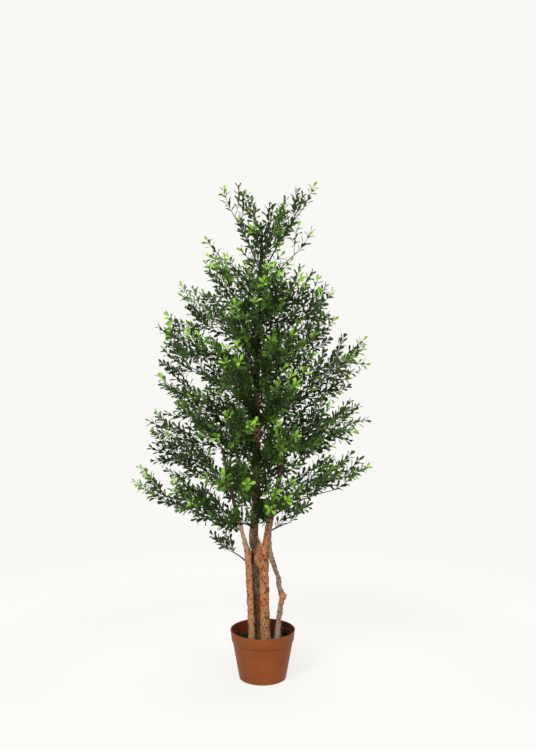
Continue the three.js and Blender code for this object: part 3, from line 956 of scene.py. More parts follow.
redTop = (0.74, 0.270, 0.115)
# painted shade in the hollow eyes of the knots
hollowShade = (0.018, 0.010, 0.006)
poleLooks = {
    "left": {
        "piece": "leftPole", "bark": "warmBark", "slot": "bark_warm", "nodes": ["pole_left"],
        "knots": [((-45, -14, 352), 5, 1.6, 1.0), ((-36, -14, 238), 4.5, 1.2, 0.9),
                  ((-33, -14, 165), 5, 1.0, 1.0)],
        "spots": [((-46, -12, 398), 22, 2, (0.52, 0.25, 0.12)),
                  ((-58, -16, 445), 42, 1.6, (0.60, 0.34, 0.215))],
    },
    "centre": {
        "piece": "centrePole", "bark": "oliveBark", "slot": "bark_olive", "nodes": ["pole_centre"],
        "knots": [((-22, 10.5, 370), 9, 5.5, 1.6), ((-28, 8, 452), 5, 1.4, 1.2), ((-20, 4, 590), 6, 1.5, 1.2),
                  ((-18, 10, 250), 6, 1.6, 1.2)],
        "spots": [((-22, 8, 369), 18, 1.4, hollowShade), ((-18, 12, 190), 90, 1.2, (0.190, 0.085, 0.034)),
                  ((-17, -2, 745), 42, 1.1, (0.26, 0.125, 0.055)),
                  ((-16, -3, 838), 46, 1.1, (0.20, 0.098, 0.048))],
    },
    "right": {
        "piece": "rightPole", "bark": "redBark", "slot": "bark_warm", "nodes": ["pole_right"],
        "knots": [((9, -21.5, 328), 4.2, 2.4, 1.6), ((2, -21, 205), 5, 1.4, 1.1),
                  ((6, -22, 271), 3.4, 1.6, 0.9), ((6, -21, 158), 4.5, 1.2, 1.0),
                  ((6, -22, 301), 3.2, 1.6, 0.9)],
        "spots": [((1, -21, 247), 17, 1.5, (0.54, 0.17, 0.06)), ((13, -18, 432), 44, 1.6, redTop),
                  ((8.2, -22, 329), 7, 1, (0.72, 0.44, 0.23)), ((10, -21.5, 328), 4.2, 1, hollowShade),
                  ((6, -22, 301), 3.4, 1, hollowShade), ((6, -22, 271), 3.4, 1, hollowShade),
                  # painted shade: two dark spots on the right pole beside the snag
                  ((2, -22, 384), 7, 1.3, (0.17, 0.034, 0.012)),
                  ((8, -21, 372), 6, 1.2, (0.15, 0.030, 0.011)),
                  ((6, -21, 158), 7, 0.8, (0.62, 0.36, 0.17))],
    },
    "crooked": {
        "piece": "crookedPole", "bark": "greyBark", "slot": "bark_grey",
        "nodes": ["pole_crooked_foot", "pole_crooked"], "relief": 1.25,
        "knots": [((52, -6, 300), 5, 1.2, 1.2), ((64, -6, 246), 5, 1.8, 1.6), ((47, -2, 176), 4.5, 1.0, 0.9)],
        "spots": [((60, -4, 250), 24, 1, (0.46, 0.20, 0.085)), ((45, 0, 120), 24, 1.3, (0.33, 0.225, 0.185))],
    },
}
# the crooked pole is one piece here and two nodes of the part
crookedSections = poles["crookedFoot"]["sections"] + poles["crooked"]["sections"][1:]
wholePoles = {**poles, "crooked": {"sections": crookedSections, "flared": True}}
for key, look in poleLooks.items():
    material = makeBark(look["piece"] + "Bark", look["bark"], look["spots"])
    makeLimb(look["piece"], evenRings(wholePoles[key]), material, look["slot"], look["nodes"], look["knots"],
             look.get("relief", 1.0))

# the snag on the right pole: the part's own sections and cut, carried on past the cut before it is made
snag = {
    "sections": [(1, -8, 334, 8), (-12, -9, 368, 14), (-11, -9, 400, 12), (-6, -9, 424, 9.5)],
    "steps": 9,
    "pastCut": 30,
    "cut": ((-6, -9, 424), (0.91, 0, 0.414)),
    "splinter": [(4, -17, 397, 2.0), (1.5, -18.4, 406, 2.8), (-3, -18.6, 417, 2.8), (-8, -18, 428, 2.2),
                 (-12, -15, 437, 1.7), (-15, -11, 445, 1)],
    "splinterSides": 10,
    "splinterLevels": 2,
    "splinterAngle": 40,
}
snagRings = [tuple(sectionAt(snag["sections"], i / snag["steps"])) for i in range(snag["steps"] + 1)]
x, y, z, radius = snagRings[-1]
snagRings.append((x, y, z + snag["pastCut"], radius))
snagBark = makeBark(
    "snagBark", "redBark",
    [((-12, -20, 424), 15, 1.5, (0.36, 0.200, 0.075)), ((-24, -15, 402), 12, 1.3, (0.52, 0.21, 0.085))],
)
makeLimb("rightPoleSnag", snagRings, snagBark, "bark_warm", ["pole_right"], cut=snag["cut"])

# the pale torn edge between the snag and the pole
splinter = raiseRings("tornEdge", snag["splinterSides"], snag["splinter"])
subdivide(splinter, snag["splinterLevels"])
splinter.data.materials.append(makeMottled("tornWood"))
smooth(splinter, snag["splinterAngle"])
finishPiece(splinter, "bark_warm", ["pole_right"])

# the cut stub at the left pole's fork and the broken twig at the knot
stubRelief = 0.4
stubs = {
    "leftPoleStub": {
        "bark": "warmBark", "slot": "bark_warm", "node": "pole_left",
        "rings": [(-44, -8, 380, 4.6), (-40.5, -9, 390, 5.2), (-37.5, -10, 398, 4.9),
                  (-35.5, -10.5, 406, 4.6), (-34, -11, 414, 4.4)],
        "cut": ((-36, -10, 403), (0.75, -0.35, 0.8)),
    },
    "knotTwig": {
        "bark": "greyBark", "slot": "bark_grey", "node": "pole_crooked_foot",
        "rings": [(58, 0, 248, 3.6), (63, -0.5, 251.5, 3.2), (68, -1, 255.5, 2.8), (73, -1.5, 259, 2.4),
                  (77, -2, 263, 2.2)],
        "cut": ((73.4, -1.5, 259.6), (1, -0.1, 0.5)),
    },
}
for name, stub in stubs.items():
    makeLimb(name, stub["rings"], makeBark(name + "Bark", stub["bark"]), stub["slot"], [stub["node"]],
             relief=stubRelief, cut=stub["cut"])
print("poles made")


# sprays: the part's layout, with the reach and height of each tip and the poles that carry it

tierTurn = 22
depthShare = 0.94
frontDrop = 12
sidePoles = ("left", "right")
# each side of a tier is the reach and the height of its tip
tiers = [
    {"root": 462, "left": (318, 556), "right": (244, 548), "carriers": sidePoles},
    {"root": 508, "left": (370, 615), "right": (288, 584), "carriers": sidePoles},
    {"root": 585, "left": (331, 709), "right": (303, 656), "carriers": sidePoles},
    {"root": 668, "left": (314, 812), "right": (272, 776)},
    {"root": 722, "left": (297, 858), "right": (283, 842)},
    {"root": 776, "left": (310, 931), "right": (260, 946)},
    {"root": 832, "left": (321, 988), "right": (293, 1022)},
    {"root": 908, "left": (285, 1079), "right": (232, 1084)},
    {"root": 990, "left": (261, 1158), "right": (216, 1176)},
    {"root": 1080, "left": (176, 1261), "right": (164, 1226)},
    {"root": 1172, "left": (181, 1325), "right": (156, 1352), "sidesOnly": True},
]
# the sprays outside the tiers: name, pole, root, turn, reach and height; a root of None is the pole's tip
loneSprays = [
    ("low_left", "left", 366, 176, 172, 440),
    ("low_right", "crooked", 426, -8, 116, 478),
    ("left_pole_tip", "left", None, 207, 268, 862),
    ("right_pole_tip", "right", None, -34, 250, 862),
    ("crooked_pole_tip", "crooked", None, -64, 205, 640),
    ("leader_far_left", "centre", 1240, 158, 136, 1480),
    ("leader_left", "centre", None, 200, 61, 1469),
    ("leader_right", "centre", 1290, 48, 100, 1431),
    ("leader_far_right", "centre", 1226, -14, 166, 1486),
]
crownTop = max(height for *_, height in loneSprays) + 1
stem = {"foot": 4.4, "arch": 0.1, "measuredIn": 200, "nudge": 1e-4}
twig = {"count": 5, "firstAt": 0.2, "lastAt": 0.9, "angle": 50, "longShare": 0.26, "shortShare": 0.16}
sprig = {
    "length": 84, "width": 40, "thickness": 4, "widestAt": 0.66, "ridgeAt": 0.4, "tipShare": 0.34, "sunk": 3,
    "spread": 52, "leastSpread": 0.8, "mostSpread": 1.2, "sidesAt": (0.35, 0.55, 0.78),
}
crowding = {"apart": 22, "checkedAt": (0.3, 0.62, 0.95), "tries": 8}
space = {"sites": 6, "margin": 4, "limbMargin": 3, "pastTip": 4, "leastReach": 130}
firstSeed = 101
goldenAngle = pi * (3 - math.sqrt(5))
up = np.array((0.0, 0.0, 1.0))


def unit(vector):
    return vector / np.linalg.norm(vector)


def squareTo(vector, along):
    return vector - along * np.dot(vector, along)


def outward(angle):
    return np.array((math.cos(angle), math.sin(angle), 0.0))


# a face of a sprig: across it, and more upwards than down
def faceAcross(along, draw):
    return unit(squareTo(np.array((draw() - 0.5, draw() - 0.5, draw())), along))


# the part's seeded numbers, in whole 32-bit steps
def seeded(seed):
    state = seed
    while True:
        state = (state + 0x6D2B79F5) & 0xFFFFFFFF
        mixed = ((state ^ (state >> 15)) * (state | 1)) & 0xFFFFFFFF
        mixed ^= (mixed + ((mixed ^ (mixed >> 7)) * (mixed | 61) & 0xFFFFFFFF)) & 0xFFFFFFFF
        yield (mixed ^ (mixed >> 14)) / 4294967296


def layOutSprays():
    rows = []
    for number, tier in enumerate(tiers):
        turn = tierTurn if number % 2 else -tierTurn
        stretch = 1 / math.cos(math.radians(turn))
        (leftReach, leftHeight), (rightReach, rightHeight) = tier["left"], tier["right"]
        depth = (leftReach + rightReach) / 2 * depthShare
        middle = (leftHeight + rightHeight) / 2
        leftPole, rightPole = tier.get("carriers", ("centre", "centre"))
        sides = [
            ("left", leftPole, 180, leftReach * stretch, leftHeight),
            ("right", rightPole, 0, rightReach * stretch, rightHeight),
            ("front", "centre", -90, depth, middle - frontDrop),
            ("back", "centre", 90, depth, middle + frontDrop),
        ]
        for side, carrier, faces, reach, height in sides[:2] if "sidesOnly" in tier else sides:
            rows.append((f"tier_{number + 1}_{side}", carrier, tier["root"], faces + turn, reach, height))
    return rows + loneSprays


def stemOf(carrier, root, turn, reach, height):
    pole = poles[carrier]
    azimuth = math.radians(turn)
    tip = np.array((reach * math.cos(azimuth), reach * math.sin(azimuth), height))
    rootHeight = pole["rings"][-1][2] if root is None else root
    x, y, _, radius = poleAt(pole, rootHeight)
    start = np.array((x, y, rootHeight))
    facing = unit(np.array((tip[0] - x, tip[1] - y, 0.0)))
    if root is None:
        start[2] += clearance
        facing = up
    else:
        outs = [radius]
        for rise in (-stem["foot"], stem["foot"]):
            nearX, nearY, _, nearRadius = poleAt(pole, rootHeight + rise)
            outs.append((nearX - x) * facing[0] + (nearY - y) * facing[1] + nearRadius)
        start = start + facing * (max(outs) + clearance)
    end = tip - unit(tip - start) * sprig["length"]
    bend = (start + end) / 2 + up * stem["arch"] * np.linalg.norm(start - end)
    return {"start": start, "bend": bend, "end": end, "tip": tip, "facing": facing}


def curvePoint(curve, t):
    return (1 - t) ** 2 * curve["start"] + 2 * (1 - t) * t * curve["bend"] + t**2 * curve["end"]


def curveDirection(curve, t):
    before, after = max(t - stem["nudge"], 0), min(t + stem["nudge"], 1)
    return unit(curvePoint(curve, after) - curvePoint(curve, before))


def lineLength(points):
    return float(np.linalg.norm(points[1:] - points[:-1], axis=1).sum())


def curveLength(curve):
    steps = stem["measuredIn"]
    return lineLength(np.array([curvePoint(curve, i / steps) for i in range(steps + 1)]))


sprays = []
for number, (name, carrier, root, turn, reach, height) in enumerate(layOutSprays()):
    spray = stemOf(carrier, root, turn, reach, height)
    spray.update(name=name, number=number, reach=reach, onTip=root is None)
    count = space["sites"]
    spray["sites"] = np.array([curvePoint(spray, (i + 1) / count) for i in range(count)] + [spray["tip"]])
    sprays.append(spray)
allSites = np.concatenate([spray["sites"] for spray in sprays])
siteOwner = np.repeat(np.arange(len(sprays)), space["sites"] + 1)


# a spray's own space lies nearer its stem than any other stem, and clear of every pole
def inOwnSpace(points, spray, margin):
    for pole in poles.values():
        for point in points:
            x, y, z, radius = poleAt(pole, point[2])
            if math.dist(point, (x, y, z)) < radius + space["limbMargin"]:
                return False
    reach = max(spray["reach"], space["leastReach"]) + space["pastTip"]
    if np.hypot(points[:, 0], points[:, 1]).max() > reach or points[:, 2].max() > crownTop:
        return False
    away = np.linalg.norm(points[:, None] - allSites[None], axis=2)
    mine = siteOwner == spray["number"]
    return bool((away[:, ~mine].min(axis=1) > away[:, mine].min(axis=1) + margin).all())


def branchDirection(along, angle, turn):
    side = unit(np.cross(along, up))
    over = np.cross(side, along)
    aside = side * math.sin(angle) * math.cos(turn)
    return unit(along * math.cos(angle) + aside + over * math.sin(angle) * math.sin(turn))


def sprigCorners(root, along, face):
    side = np.cross(along, face)
    half, widest = sprig["tipShare"] / 2, sprig["widestAt"]
    spots = [(0, 0, 0), (widest, 0.5, 0), (1, half, 0), (1, -half, 0), (widest, -0.5, 0),
             (sprig["ridgeAt"], 0, sprig["thickness"])]
    length, width = sprig["length"], sprig["width"]
    corners = np.array([root + along * length * f + side * width * a + face * rise for f, a, rise in spots])
    corners = corners.astype(np.float32).astype(float)
    return np.vstack((corners.mean(axis=0), corners))


def bladePoints(root, along, length):
    return [root + along * length * share for share in crowding["checkedAt"]]


def nearest(blade, blades):
    return min((math.dist(a, b) for a in blade for b in blades), default=math.inf)


def sprigPlan(root, along, face, length, spray, onTwig=None):
    return {"root": root, "along": along, "face": face, "length": length, "spray": spray, "twig": onTwig}


# the part's own rule: five twigs to a stem, a sprig at each tip and three along it
def growSpray(spray):
    draw = seeded(firstSeed + spray["number"]).__next__
    sprigs, twigs, blades = [], [], []

    def addSprig(root, around, spread, turn, onTwig=None):
        for tries in range(crowding["tries"]):
            least, most = sprig["leastSpread"], sprig["mostSpread"]
            angle = spread * (least + (most - least) * draw())
            along = branchDirection(around, angle, turn + goldenAngle * tries)
            blade = bladePoints(root, along, sprig["length"])
            if nearest(blade, blades) < crowding["apart"]:
                continue
            face = faceAcross(along, draw)
            if not inOwnSpace(sprigCorners(root, along, face), spray, space["margin"]):
                continue
            sprigs.append(sprigPlan(root, along, face, sprig["length"], spray, onTwig))
            blades.extend(blade)
            return True
        return False

    length = curveLength(spray)
    ahead = unit(spray["tip"] - spray["end"])
    addSprig(spray["end"] - ahead * sprig["sunk"], ahead, 0, 0)
    firstTurn = draw() * 2 * pi
    for i in range(twig["count"]):
        share = twig["firstAt"] + (twig["lastAt"] - twig["firstAt"]) * i / (twig["count"] - 1)
        foot, tangent = curvePoint(spray, share), curveDirection(spray, share)
        twigLength = length * (twig["longShare"] + (twig["shortShare"] - twig["longShare"]) * share)
        for tries in range(crowding["tries"]):
            turn = firstTurn + goldenAngle * (i + tries * twig["count"])
            along = branchDirection(tangent, math.radians(twig["angle"]), turn)
            tip = foot + along * twigLength
            if not addSprig(tip - along * sprig["sunk"], along, 0, 0, len(twigs)):
                continue
            roll = draw() * pi
            for side, sideShare in enumerate(sprig["sidesAt"]):
                root, turnAside = foot + (tip - foot) * sideShare, roll + side * pi
                addSprig(root, along, math.radians(sprig["spread"]), turnAside, len(twigs))
            twigs.append((foot, tip))
            break
    return sprigs, twigs


# finer twigs and sprigs between the part's own, along the stems and the twigs
finer = {
    "seed": 9000,
    "twigs": 4, "twigsFrom": 0.12, "twigsTo": 0.97, "twigScatter": 0.6, "twigAngle": 42, "twigShort": 42,
    "twigLong": 92, "twigCheckedAt": (0.6, 1.0), "twigLeast": 4, "twigPoints": 8, "stemPoints": 24,
    "step": 16, "firstAt": 0.04, "lastAt": 0.999, "angle": 40, "angleVaries": (0.7, 0.6),
    "short": 66, "long": 100, "shorterEachTry": 0.1, "endSpread": 0.05, "endVaries": (0.7, 0.3),
    "apart": 20.8, "tries": 7, "margin": -3,
    "fullWithin": 0.38, "noneBeyond": 0.79,  # how far out, as a share of the spray's reach
    "farther": {"tier_1_left": 1.15, "tier_2_left": 0.95, "tier_1_right": 0.95},
}
# short sprigs where leaves hide the wood: round the centre pole from one height to another, three low beside
# the poles, by place and direction, and more on the centre pole's front, by height and turn in degrees
poleSprigs = {
    "from": 528, "to": 1335, "step": 9.5, "angle": 62, "angleVaries": (0.7, 0.6), "frontRise": 0.6,
    "sunk": 0.5, "length": 78, "lengthVaries": (0.75, 0.5), "middleAt": 40, "seed": 77,
    "bare": [(725, 770), (805, 870)],
    "low": [((6, -22, 486), (-0.45, -0.5, 0.75)), ((-2, -20, 474), (0.5, -0.6, 0.6)),
            ((-16, 4, 490), (0.5, -0.7, 0.5))],
    "front": [(548, -118), (574, -62), (600, -125), (628, -70), (655, -112), (684, -58), (706, -128),
              (778, -75), (792, -110), (880, -66), (902, -118), (930, -80), (958, -104), (985, -62),
              (1010, -122), (1040, -84), (1070, -108), (1100, -70), (1250, -70), (1280, -110), (1305, -80)],
}
# how full the thinner sprays are, next to 1 for the rest
fullness = {"leader_far_left": 0.2, "leader_left": 0.12, "leader_right": 0.12, "leader_far_right": 0.2,
            "tier_11_left": 0.25, "tier_11_right": 0.3, "low_left": 0, "low_right": 0}


def alongLine(points, place):
    index = min(int(place), len(points) - 2)
    direction = points[index + 1] - points[index]
    return points[index] + direction * (place - index), unit(direction)


# a length between two, less with each try that found no room
def shrinking(random, short, long, tries):
    return short + (long - short) * random.random() * (1 - finer["shorterEachTry"] * tries)


def growFiner(spray, sprigs, twigs):
    random = np.random.default_rng(finer["seed"] + spray["number"])
    stemLine = np.array([curvePoint(spray, t) for t in np.linspace(finer["firstAt"], 1, finer["stemPoints"])])
    moreTwigs, turn = [], random.random() * 2 * pi
    for i in range(finer["twigs"]):
        place = (i + finer["twigScatter"] * random.random()) / finer["twigs"]
        share = min(finer["twigsFrom"] + (1 - finer["twigsFrom"]) * place, finer["twigsTo"])
        foot, tangent = alongLine(stemLine, share * (len(stemLine) - 1))
        for tries in range(finer["tries"]):
            turn += goldenAngle
            along = branchDirection(tangent, math.radians(finer["twigAngle"]), turn)
            length = shrinking(random, finer["twigShort"], finer["twigLong"], tries)
            ends = np.array([foot + along * length * part for part in finer["twigCheckedAt"]])
            if inOwnSpace(ends, spray, finer["margin"]):
                moreTwigs.append((foot, foot + along * length))
                break
    blades = [point for s in sprigs for point in bladePoints(s["root"], s["along"], s["length"])]
    lines = [stemLine] + [np.linspace(foot, tip, finer["twigPoints"]) for foot, tip in twigs + moreTwigs]
    noneBeyond = finer["farther"].get(spray["name"], finer["noneBeyond"])
    full = fullness.get(spray["name"], 1)
    more = []

    # says whether the search at this place is over, with a sprig or by chance without one
    def addSprig(root, around, spread, turn, length, onTwig):
        away = math.hypot(root[0], root[1]) / max(spray["reach"], space["leastReach"])
        if random.random() > (noneBeyond - away) / (noneBeyond - finer["fullWithin"]) * full:
            return True
        along = branchDirection(around, spread, turn)
        blade = bladePoints(root, along, length)
        if nearest(blade, blades) < finer["apart"]:
            return False
        if not inOwnSpace(np.array(blade[1:] + [root + along * length]), spray, finer["margin"]):
            return False
        more.append(sprigPlan(root, along, faceAcross(along, random.random), length, spray, onTwig))
        blades.extend(blade)
        return True

    for number, (foot, tip) in enumerate(moreTwigs):
        length = finer["long"] * vary(random, finer["endVaries"])
        addSprig(tip, unit(tip - foot), finer["endSpread"], 0, length, len(twigs) + number)
    for number, points in enumerate(lines):
        onTwig = number - 1 if number else None
        turn = random.random() * 2 * pi
        count = int(lineLength(points) / finer["step"]) + 1
        for i in range(count):
            place = (i + random.random()) / count * (len(points) - 1) * finer["lastAt"]
            root, tangent = alongLine(points, place)
            turn += goldenAngle
            for tries in range(finer["tries"]):
                spread = math.radians(finer["angle"]) * vary(random, finer["angleVaries"])
                length = shrinking(random, finer["short"], finer["long"], tries)
                if addSprig(root, tangent, spread, turn + tries * goldenAngle, length, onTwig):
                    break
    return more, moreTwigs


# sprigs sweep up and on along their spray, and none hangs under the crown's skirt
sweep = {
    "axisShare": 0.8, "points": 6, "onward": 0.75, "rise": 0.55, "bend": 0.4,
    "lifts": (0, 0.3, 0.6, 1.0, 1.6), "hang": 7,
}
# skirt: distance from the middle and the lowest height of the leaves there
skirt = {
    "left": [(0, 474), (120, 480), (190, 474), (250, 533), (350, 578), (390, 600)],
    "right": [(0, 474), (40, 478), (75, 500), (110, 530), (150, 542), (184, 550), (276, 560), (320, 592)],
    "ragged": 7,
    "waves": [(5, 0.6), (11, 2.0)],
    "waveLength": 19,
    "low": {"low_left": 394, "low_right": 446, "crooked_pole_tip": 462},
}
# sky seen through the crown's top: x and height of the middle, half width and half height
skyGaps = [(-4, 1452, 26, 62), (-96, 1300, 22, 26)]


def skirtAt(place, spray):
    if spray["name"] in skirt["low"]:
        return skirt["low"][spray["name"]]
    turn = math.atan2(place[1], place[0])
    ragged = sum(math.sin(count * turn + start) for count, start in skirt["waves"])
    ragged += math.sin(place[0] / skirt["waveLength"])
    away, lowest = zip(*skirt["right" if place[0] > 0 else "left"])
    return float(np.interp(math.hypot(place[0], place[1]), away, lowest)) + skirt["ragged"] * ragged


def inSky(points, spray):
    if any(point[2] - sweep["hang"] < skirtAt(point, spray) for point in points):
        return True
    return any(
        ((point[0] - x) / halfWidth) ** 2 + ((point[2] - height) / halfHeight) ** 2 < 1
        for point in points for x, height, halfWidth, halfHeight in skyGaps
    )


def shapeSprig(plan):
    root, spray, length = plan["root"], plan["spray"], plan["length"] * sweep["axisShare"]
    onward = unit(spray["tip"] - spray["start"])
    wanted = unit(onward * sweep["onward"] + up * sweep["rise"])
    shares = np.linspace(0, 1, sweep["points"])
    for lift in sweep["lifts"]:
        along = unit(plan["along"] + up * lift)
        turned = squareTo(wanted, along)
        axis = np.array([root + along * length * t + turned * sweep["bend"] * length * t * t for t in shares])
        if not inSky(axis[2:], spray):
            plan["axis"] = axis
            plan["face"] = unit(squareTo(plan["face"], along))
            return True
    return False


# sprigs set one by one on the two lowest sprays: share of the stem, turn about it in degrees, length
setSprigs = {
    "low_left": [(0.36, 95, 62), (0.62, 265, 58), (0.66, 80, 70), (0.9, 280, 56)],
    "low_right": [(0.42, 80, 54), (0.55, 265, 54), (0.68, 95, 58), (0.8, 280, 54), (0.92, 75, 54)],
    "angle": 44,
}


def setByEye(spray):
    random = np.random.default_rng(finer["seed"] - spray["number"])
    plans = []
    for share, turn, length in setSprigs.get(spray["name"], []):
        tangent = curveDirection(spray, share)
        along = branchDirection(tangent, math.radians(setSprigs["angle"]), math.radians(turn))
        face = faceAcross(along, random.random)
        plans.append(sprigPlan(np.array(curvePoint(spray, share)), along, face, length, spray))
    return plans


def growOnPole():
    look, pole = poleSprigs, poles["centre"]
    random = np.random.default_rng(look["seed"])
    starts = [(np.array(root, float), unit(np.array(along))) for root, along in look["low"]]

    def startAt(height, out, along):
        x, y, z, radius = poleAt(pole, height)
        starts.append((np.array((x, y, z)) + out * (radius - look["sunk"]), unit(along)))

    for height, side in look["front"]:
        out = outward(math.radians(side))
        startAt(height, out, out + up * look["frontRise"])
    turn = 0
    for height in np.arange(look["from"], look["to"], look["step"]):
        turn += goldenAngle
        out = outward(turn)
        angle = math.radians(look["angle"]) * vary(random, look["angleVaries"])
        if out[1] > 0 or not any(low < height < high for low, high in look["bare"]):
            startAt(height, out, up * math.cos(angle) + out * math.sin(angle))
    plans = []
    for root, along in starts:
        face = faceAcross(along, random.random)
        away = np.linalg.norm(allSites - (root + along * look["middleAt"]), axis=1)
        spray = sprays[siteOwner[int(np.argmin(away))]]
        plans.append(sprigPlan(root, along, face, look["length"] * vary(random, look["lengthVaries"]), spray))
    return plans


allSprigs, allTwigs, sourceCount = [], [], 0
for spray in sprays:
    sprigs, twigs = growSpray(spray)
    sourceCount += len(sprigs)
    more, moreTwigs = growFiner(spray, sprigs, twigs)
    twigs = twigs + moreTwigs
    kept = [i for i, (foot, tip) in enumerate(twigs) if not inSky([tip], spray)]
    plans = sprigs + more + setByEye(spray)
    shown = [plan for plan in plans if plan["twig"] in [None, *kept] and shapeSprig(plan)]
    spray["feet"] = [plan["root"] for plan in shown if plan["twig"] is None]
    # a twig ends at its last sprig
    for i in kept:
        foot, tip = twigs[i]
        reaches = [math.dist(foot, plan["root"]) for plan in shown if plan["twig"] == i]
        if reaches:
            share = min(1, max(max(reaches), finer["twigLeast"]) / math.dist(foot, tip))
            allTwigs.append((foot, foot + (tip - foot) * share))
            spray["feet"].append(foot)
    allSprigs += shown
allSprigs += [plan for plan in growOnPole() if shapeSprig(plan)]
print("sprigs grown:", sourceCount, "of the part's,", len(allSprigs), "in all")


# leaves: small folded, curled blades of sixteen triangles, in crossed pairs along each sprig

leaf = {
    "length": 26,
    "width": 9.5,
    "stations": [(0, 0.12), (0.3, 0.38), (0.62, 0.92), (0.86, 0.9), (1.0, 0.24)],
    "fold": 0.4,
    "curl": 0.14,
    "twist": 0.8,
    "pairStep": 10.2,
    "leastPairs": 3,
    "firstPairAt": 0.55,
    "angle": 42,
    "tipAngle": 20,
    "closing": 0.5,
    "angleVaries": (0.8, 0.4),
    "turnVaries": 0.2,
    "sizeVaries": (0.85, 0.3),
    "oddShare": 0.3,
    "starAngle": 52,
    "starGather": 0.4,
    "starSize": 0.82,
    "starWide": 1.2,
    "sizes": [0.7, 0.92, 1.0, 1.0, 0.97, 0.9, 0.78],
}
toneShares = {"deepLeaf": 0.24, "darkLeaf": 0.40, "midLeaf": 0.26, "freshLeaf": 0.10}
# the newest leaves are the brightest, most of them where a spray ends
brightTips = {
    "share": 0.12, "endShare": 0.8, "endReach": 92, "endFresh": 0.5, "lowest": 520, "lowShare": 0.25,
    "star": (1, 2, 3), "pale": (0, 1), "fresh": (0, 1, 2),  # pairs, counted from the tip
}


def leafBlade():
    points = []
    for along, wide in leaf["stations"]:
        half = wide * leaf["width"] / 2
        drop = -leaf["curl"] * leaf["length"] * along**2
        points += [(x, along * leaf["length"], drop + leaf["fold"] * abs(x)) for x in (-half, 0, half)]
    faces = []
    for row in range(len(leaf["stations"]) - 1):
        for corner in (row * 3, row * 3 + 1):
            faces.append((corner, corner + 1, corner + 4, corner + 3))
    return np.array(points), np.array(faces)


def joinedMesh(name, vertices, faces):
    mesh = bpy.data.meshes.new(name)
    sides = faces.shape[1]
    mesh.vertices.add(len(vertices))
    mesh.vertices.foreach_set("co", (vertices * mm).ravel())
    mesh.loops.add(faces.size)
    mesh.loops.foreach_set("vertex_index", faces.ravel())
    mesh.polygons.add(len(faces))
    mesh.polygons.foreach_set("loop_start", np.arange(0, faces.size, sides))
    mesh.polygons.foreach_set("use_smooth", np.ones(len(faces), bool))
    mesh.update()
    mesh.validate()
    return newPiece(name, mesh)


# one tone for a sprig, and whether its tip is bright: few are, low down
def toneOf(plan, random):
    tone = random.choice(list(toneShares), p=list(toneShares.values()))
    low = plan["root"][2] < brightTips["lowest"] and random.random() > brightTips["lowShare"]
    atEnd = not low and math.dist(plan["root"], plan["spray"]["tip"]) < brightTips["endReach"]
    brightTip = not low and random.random() < brightTips["endShare" if atEnd else "share"]
    if atEnd and random.random() < brightTips["endFresh"]:
        tone = random.choice(["midLeaf", "freshLeaf"])
    return tone, brightTip


# each leaf: its tone, root, three directions and size
def leavesOf(plan, random):
    axis = plan["axis"]
    pairs = max(leaf["leastPairs"], int(plan["length"] * sweep["axisShare"] / leaf["pairStep"]))
    tone, brightTip = toneOf(plan, random)
    roll = random.random() * pi
    rows = []
    for pair in range(pairs + 1):
        share = (pair + leaf["firstPairAt"]) / (pairs + leaf["firstPairAt"])
        fromTip = pairs - pair
        inStar = brightTip and fromTip in brightTips["star"]
        if inStar:
            share += (1 - share) * leaf["starGather"]
        root, along = alongLine(axis, share * (len(axis) - 1))
        side = unit(np.cross(along, plan["face"]))
        over = np.cross(side, along)
        size = np.interp(share, np.linspace(0, 1, len(leaf["sizes"])), leaf["sizes"])
        angle = leaf["angle"] + (leaf["tipAngle"] - leaf["angle"]) * share * leaf["closing"]
        if fromTip == 0:
            angle = leaf["tipAngle"]
        if inStar:
            size, angle = leaf["starSize"], leaf["starAngle"]
        leafTone = tone
        if brightTip and fromTip in brightTips["fresh"]:
            leafTone = "tipLeaf" if fromTip in brightTips["pale"] else "freshLeaf"
        if leafTone == tone and random.random() < leaf["oddShare"]:
            leafTone = random.choice(list(toneShares)[:3])
        for hand in (0, 1):
            turn = roll + pair * pi / 2 + hand * pi + leaf["turnVaries"] * (random.random() - 0.5)
            spread = math.radians(angle * vary(random, leaf["angleVaries"]))
            out = side * math.cos(turn) + over * math.sin(turn)
            forward = unit(along * math.cos(spread) + out * math.sin(spread))
            normal = unit(squareTo(along, forward) + leaf["twist"] * (random.random(3) - 0.5))
            normal = unit(squareTo(normal, forward))
            scale = size * vary(random, leaf["sizeVaries"])
            across = np.cross(forward, normal) * (leaf["starWide"] if inStar else 1)
            rows.append((leafTone, root, across, forward, normal, scale))
    return rows


# each tone is one piece for the lower half of the crown and one for the upper half
foliage = {"seed": 21, "splitHeight": 860, "nodes": ["spray_" + spray["name"] for spray in sprays]}


def makeFoliage():
    random = np.random.default_rng(foliage["seed"])
    blade, bladeFaces = leafBlade()
    placed = {(tone, half): [] for tone in leafLooks for half in ("Lower", "Upper")}
    for plan in allSprigs:
        half = "Upper" if plan["root"][2] > foliage["splitHeight"] else "Lower"
        for tone, root, across, forward, normal, scale in leavesOf(plan, random):
            placed[tone, half].append(blade @ np.array((across, forward, normal)) * scale + root)
    materials = {tone: makeLeafMaterial(tone) for tone in leafLooks}
    for (tone, half), leaves in placed.items():
        starts = np.arange(len(leaves)) * len(blade)
        faces = (bladeFaces[None] + starts[:, None, None]).reshape(-1, 4)
        piece = joinedMesh(tone.replace("Leaf", "Leaves") + half, np.concatenate(leaves), faces)
        piece.data.materials.append(materials[tone])
        finishPiece(piece, leafLooks[tone]["slot"], foliage["nodes"])
        print(piece.name, len(leaves), "leaves")


makeFoliage()


# wires: tapering tubes for stems, twigs and sprigs

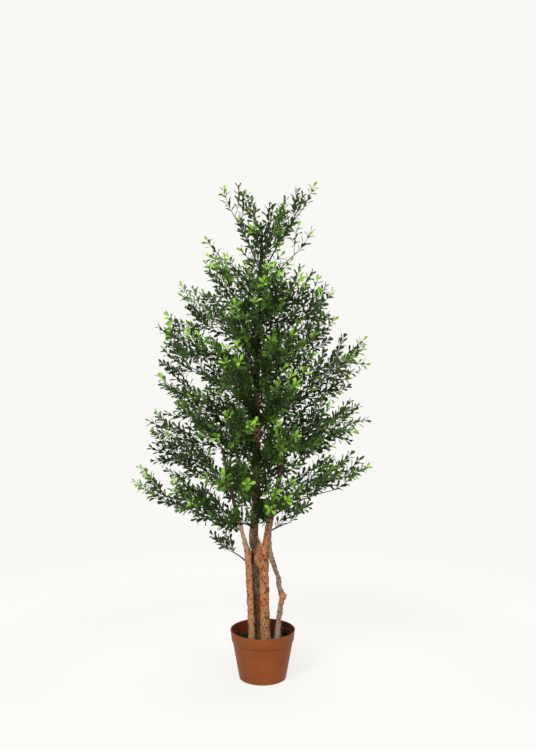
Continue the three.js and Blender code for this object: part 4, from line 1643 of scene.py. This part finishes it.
def tubeRings(points, radii, sides):
    points = np.array(points)
    directions = np.gradient(points, axis=0)
    directions /= np.linalg.norm(directions, axis=1)[:, None]
    side = np.cross(directions[0], up)
    if np.linalg.norm(side) < 0.1:  # it starts nearly upright
        side = np.array((1.0, 0.0, 0.0))
    rows = []
    for point, along, radius in zip(points, directions, radii):
        side = unit(squareTo(side, along))
        over = np.cross(along, side)
        for i in range(sides):
            angle = 2 * pi * i / sides
            rows.append(point + radius * (side * math.cos(angle) + over * math.sin(angle)))
    faces = []
    for ring in range(len(points) - 1):
        for i in range(sides):
            here, following = ring * sides + i, ring * sides + (i + 1) % sides
            faces.append((here, following, following + sides, here + sides))
    return np.array(rows), np.array(faces)


def makeTubes(name, plans, sides, look, slot):
    vertices, faces, start = [], [], 0
    for points, (foot, tip) in plans:
        rows, quads = tubeRings(points, np.linspace(foot, tip, len(points)), sides)
        vertices.append(rows)
        faces.append(quads + start)
        start += len(rows)
    piece = joinedMesh(name, np.concatenate(vertices), np.concatenate(faces))
    piece.data.materials.append(makeMottled(look))
    finishPiece(piece, slot, foliage["nodes"])


# radii at foot and tip, in mm; a stem starts inside its pole
wire = {
    "stem": (2.7, 1.1), "twig": (1.15, 0.85), "sprig": (1.0, 0.7), "sides": 6, "sprigSides": 3, "sunk": 5,
    "stemPoints": 13, "twigPoints": 5, "searchPoints": 33,
}


# how much of a spray's stem is shown: up to its last sprig or twig
def shownShare(spray):
    count = wire["searchPoints"]
    line = np.array([curvePoint(spray, t) for t in np.linspace(0, 1, count)])
    last = max((int(np.argmin(np.linalg.norm(line - foot, axis=1))) for foot in spray["feet"]), default=0)
    return min(1.0, (last + 1) / (count - 1))


def makeWires():
    stems = []
    for spray in sprays:
        points = [curvePoint(spray, t) for t in np.linspace(0, shownShare(spray), wire["stemPoints"])]
        inward = -up if spray["onTip"] else -spray["facing"]
        stems.append(([points[0] + inward * wire["sunk"], *points], wire["stem"]))
    for foot, tip in allTwigs:
        points = [foot + (tip - foot) * t for t in np.linspace(0, 1, wire["twigPoints"])]
        stems.append((points, wire["twig"]))
    makeTubes("branchWires", stems, wire["sides"], "branchWire", "bark_olive")
    sprigStems = [(plan["axis"], wire["sprig"]) for plan in allSprigs]
    makeTubes("sprigStems", sprigStems, wire["sprigSides"], "sprigStem", "leaf_deep")


makeWires()
print("foliage made")

triangles = sum(len(p.vertices) - 2 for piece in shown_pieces() for p in piece.data.polygons)
print("triangles shown:", triangles)
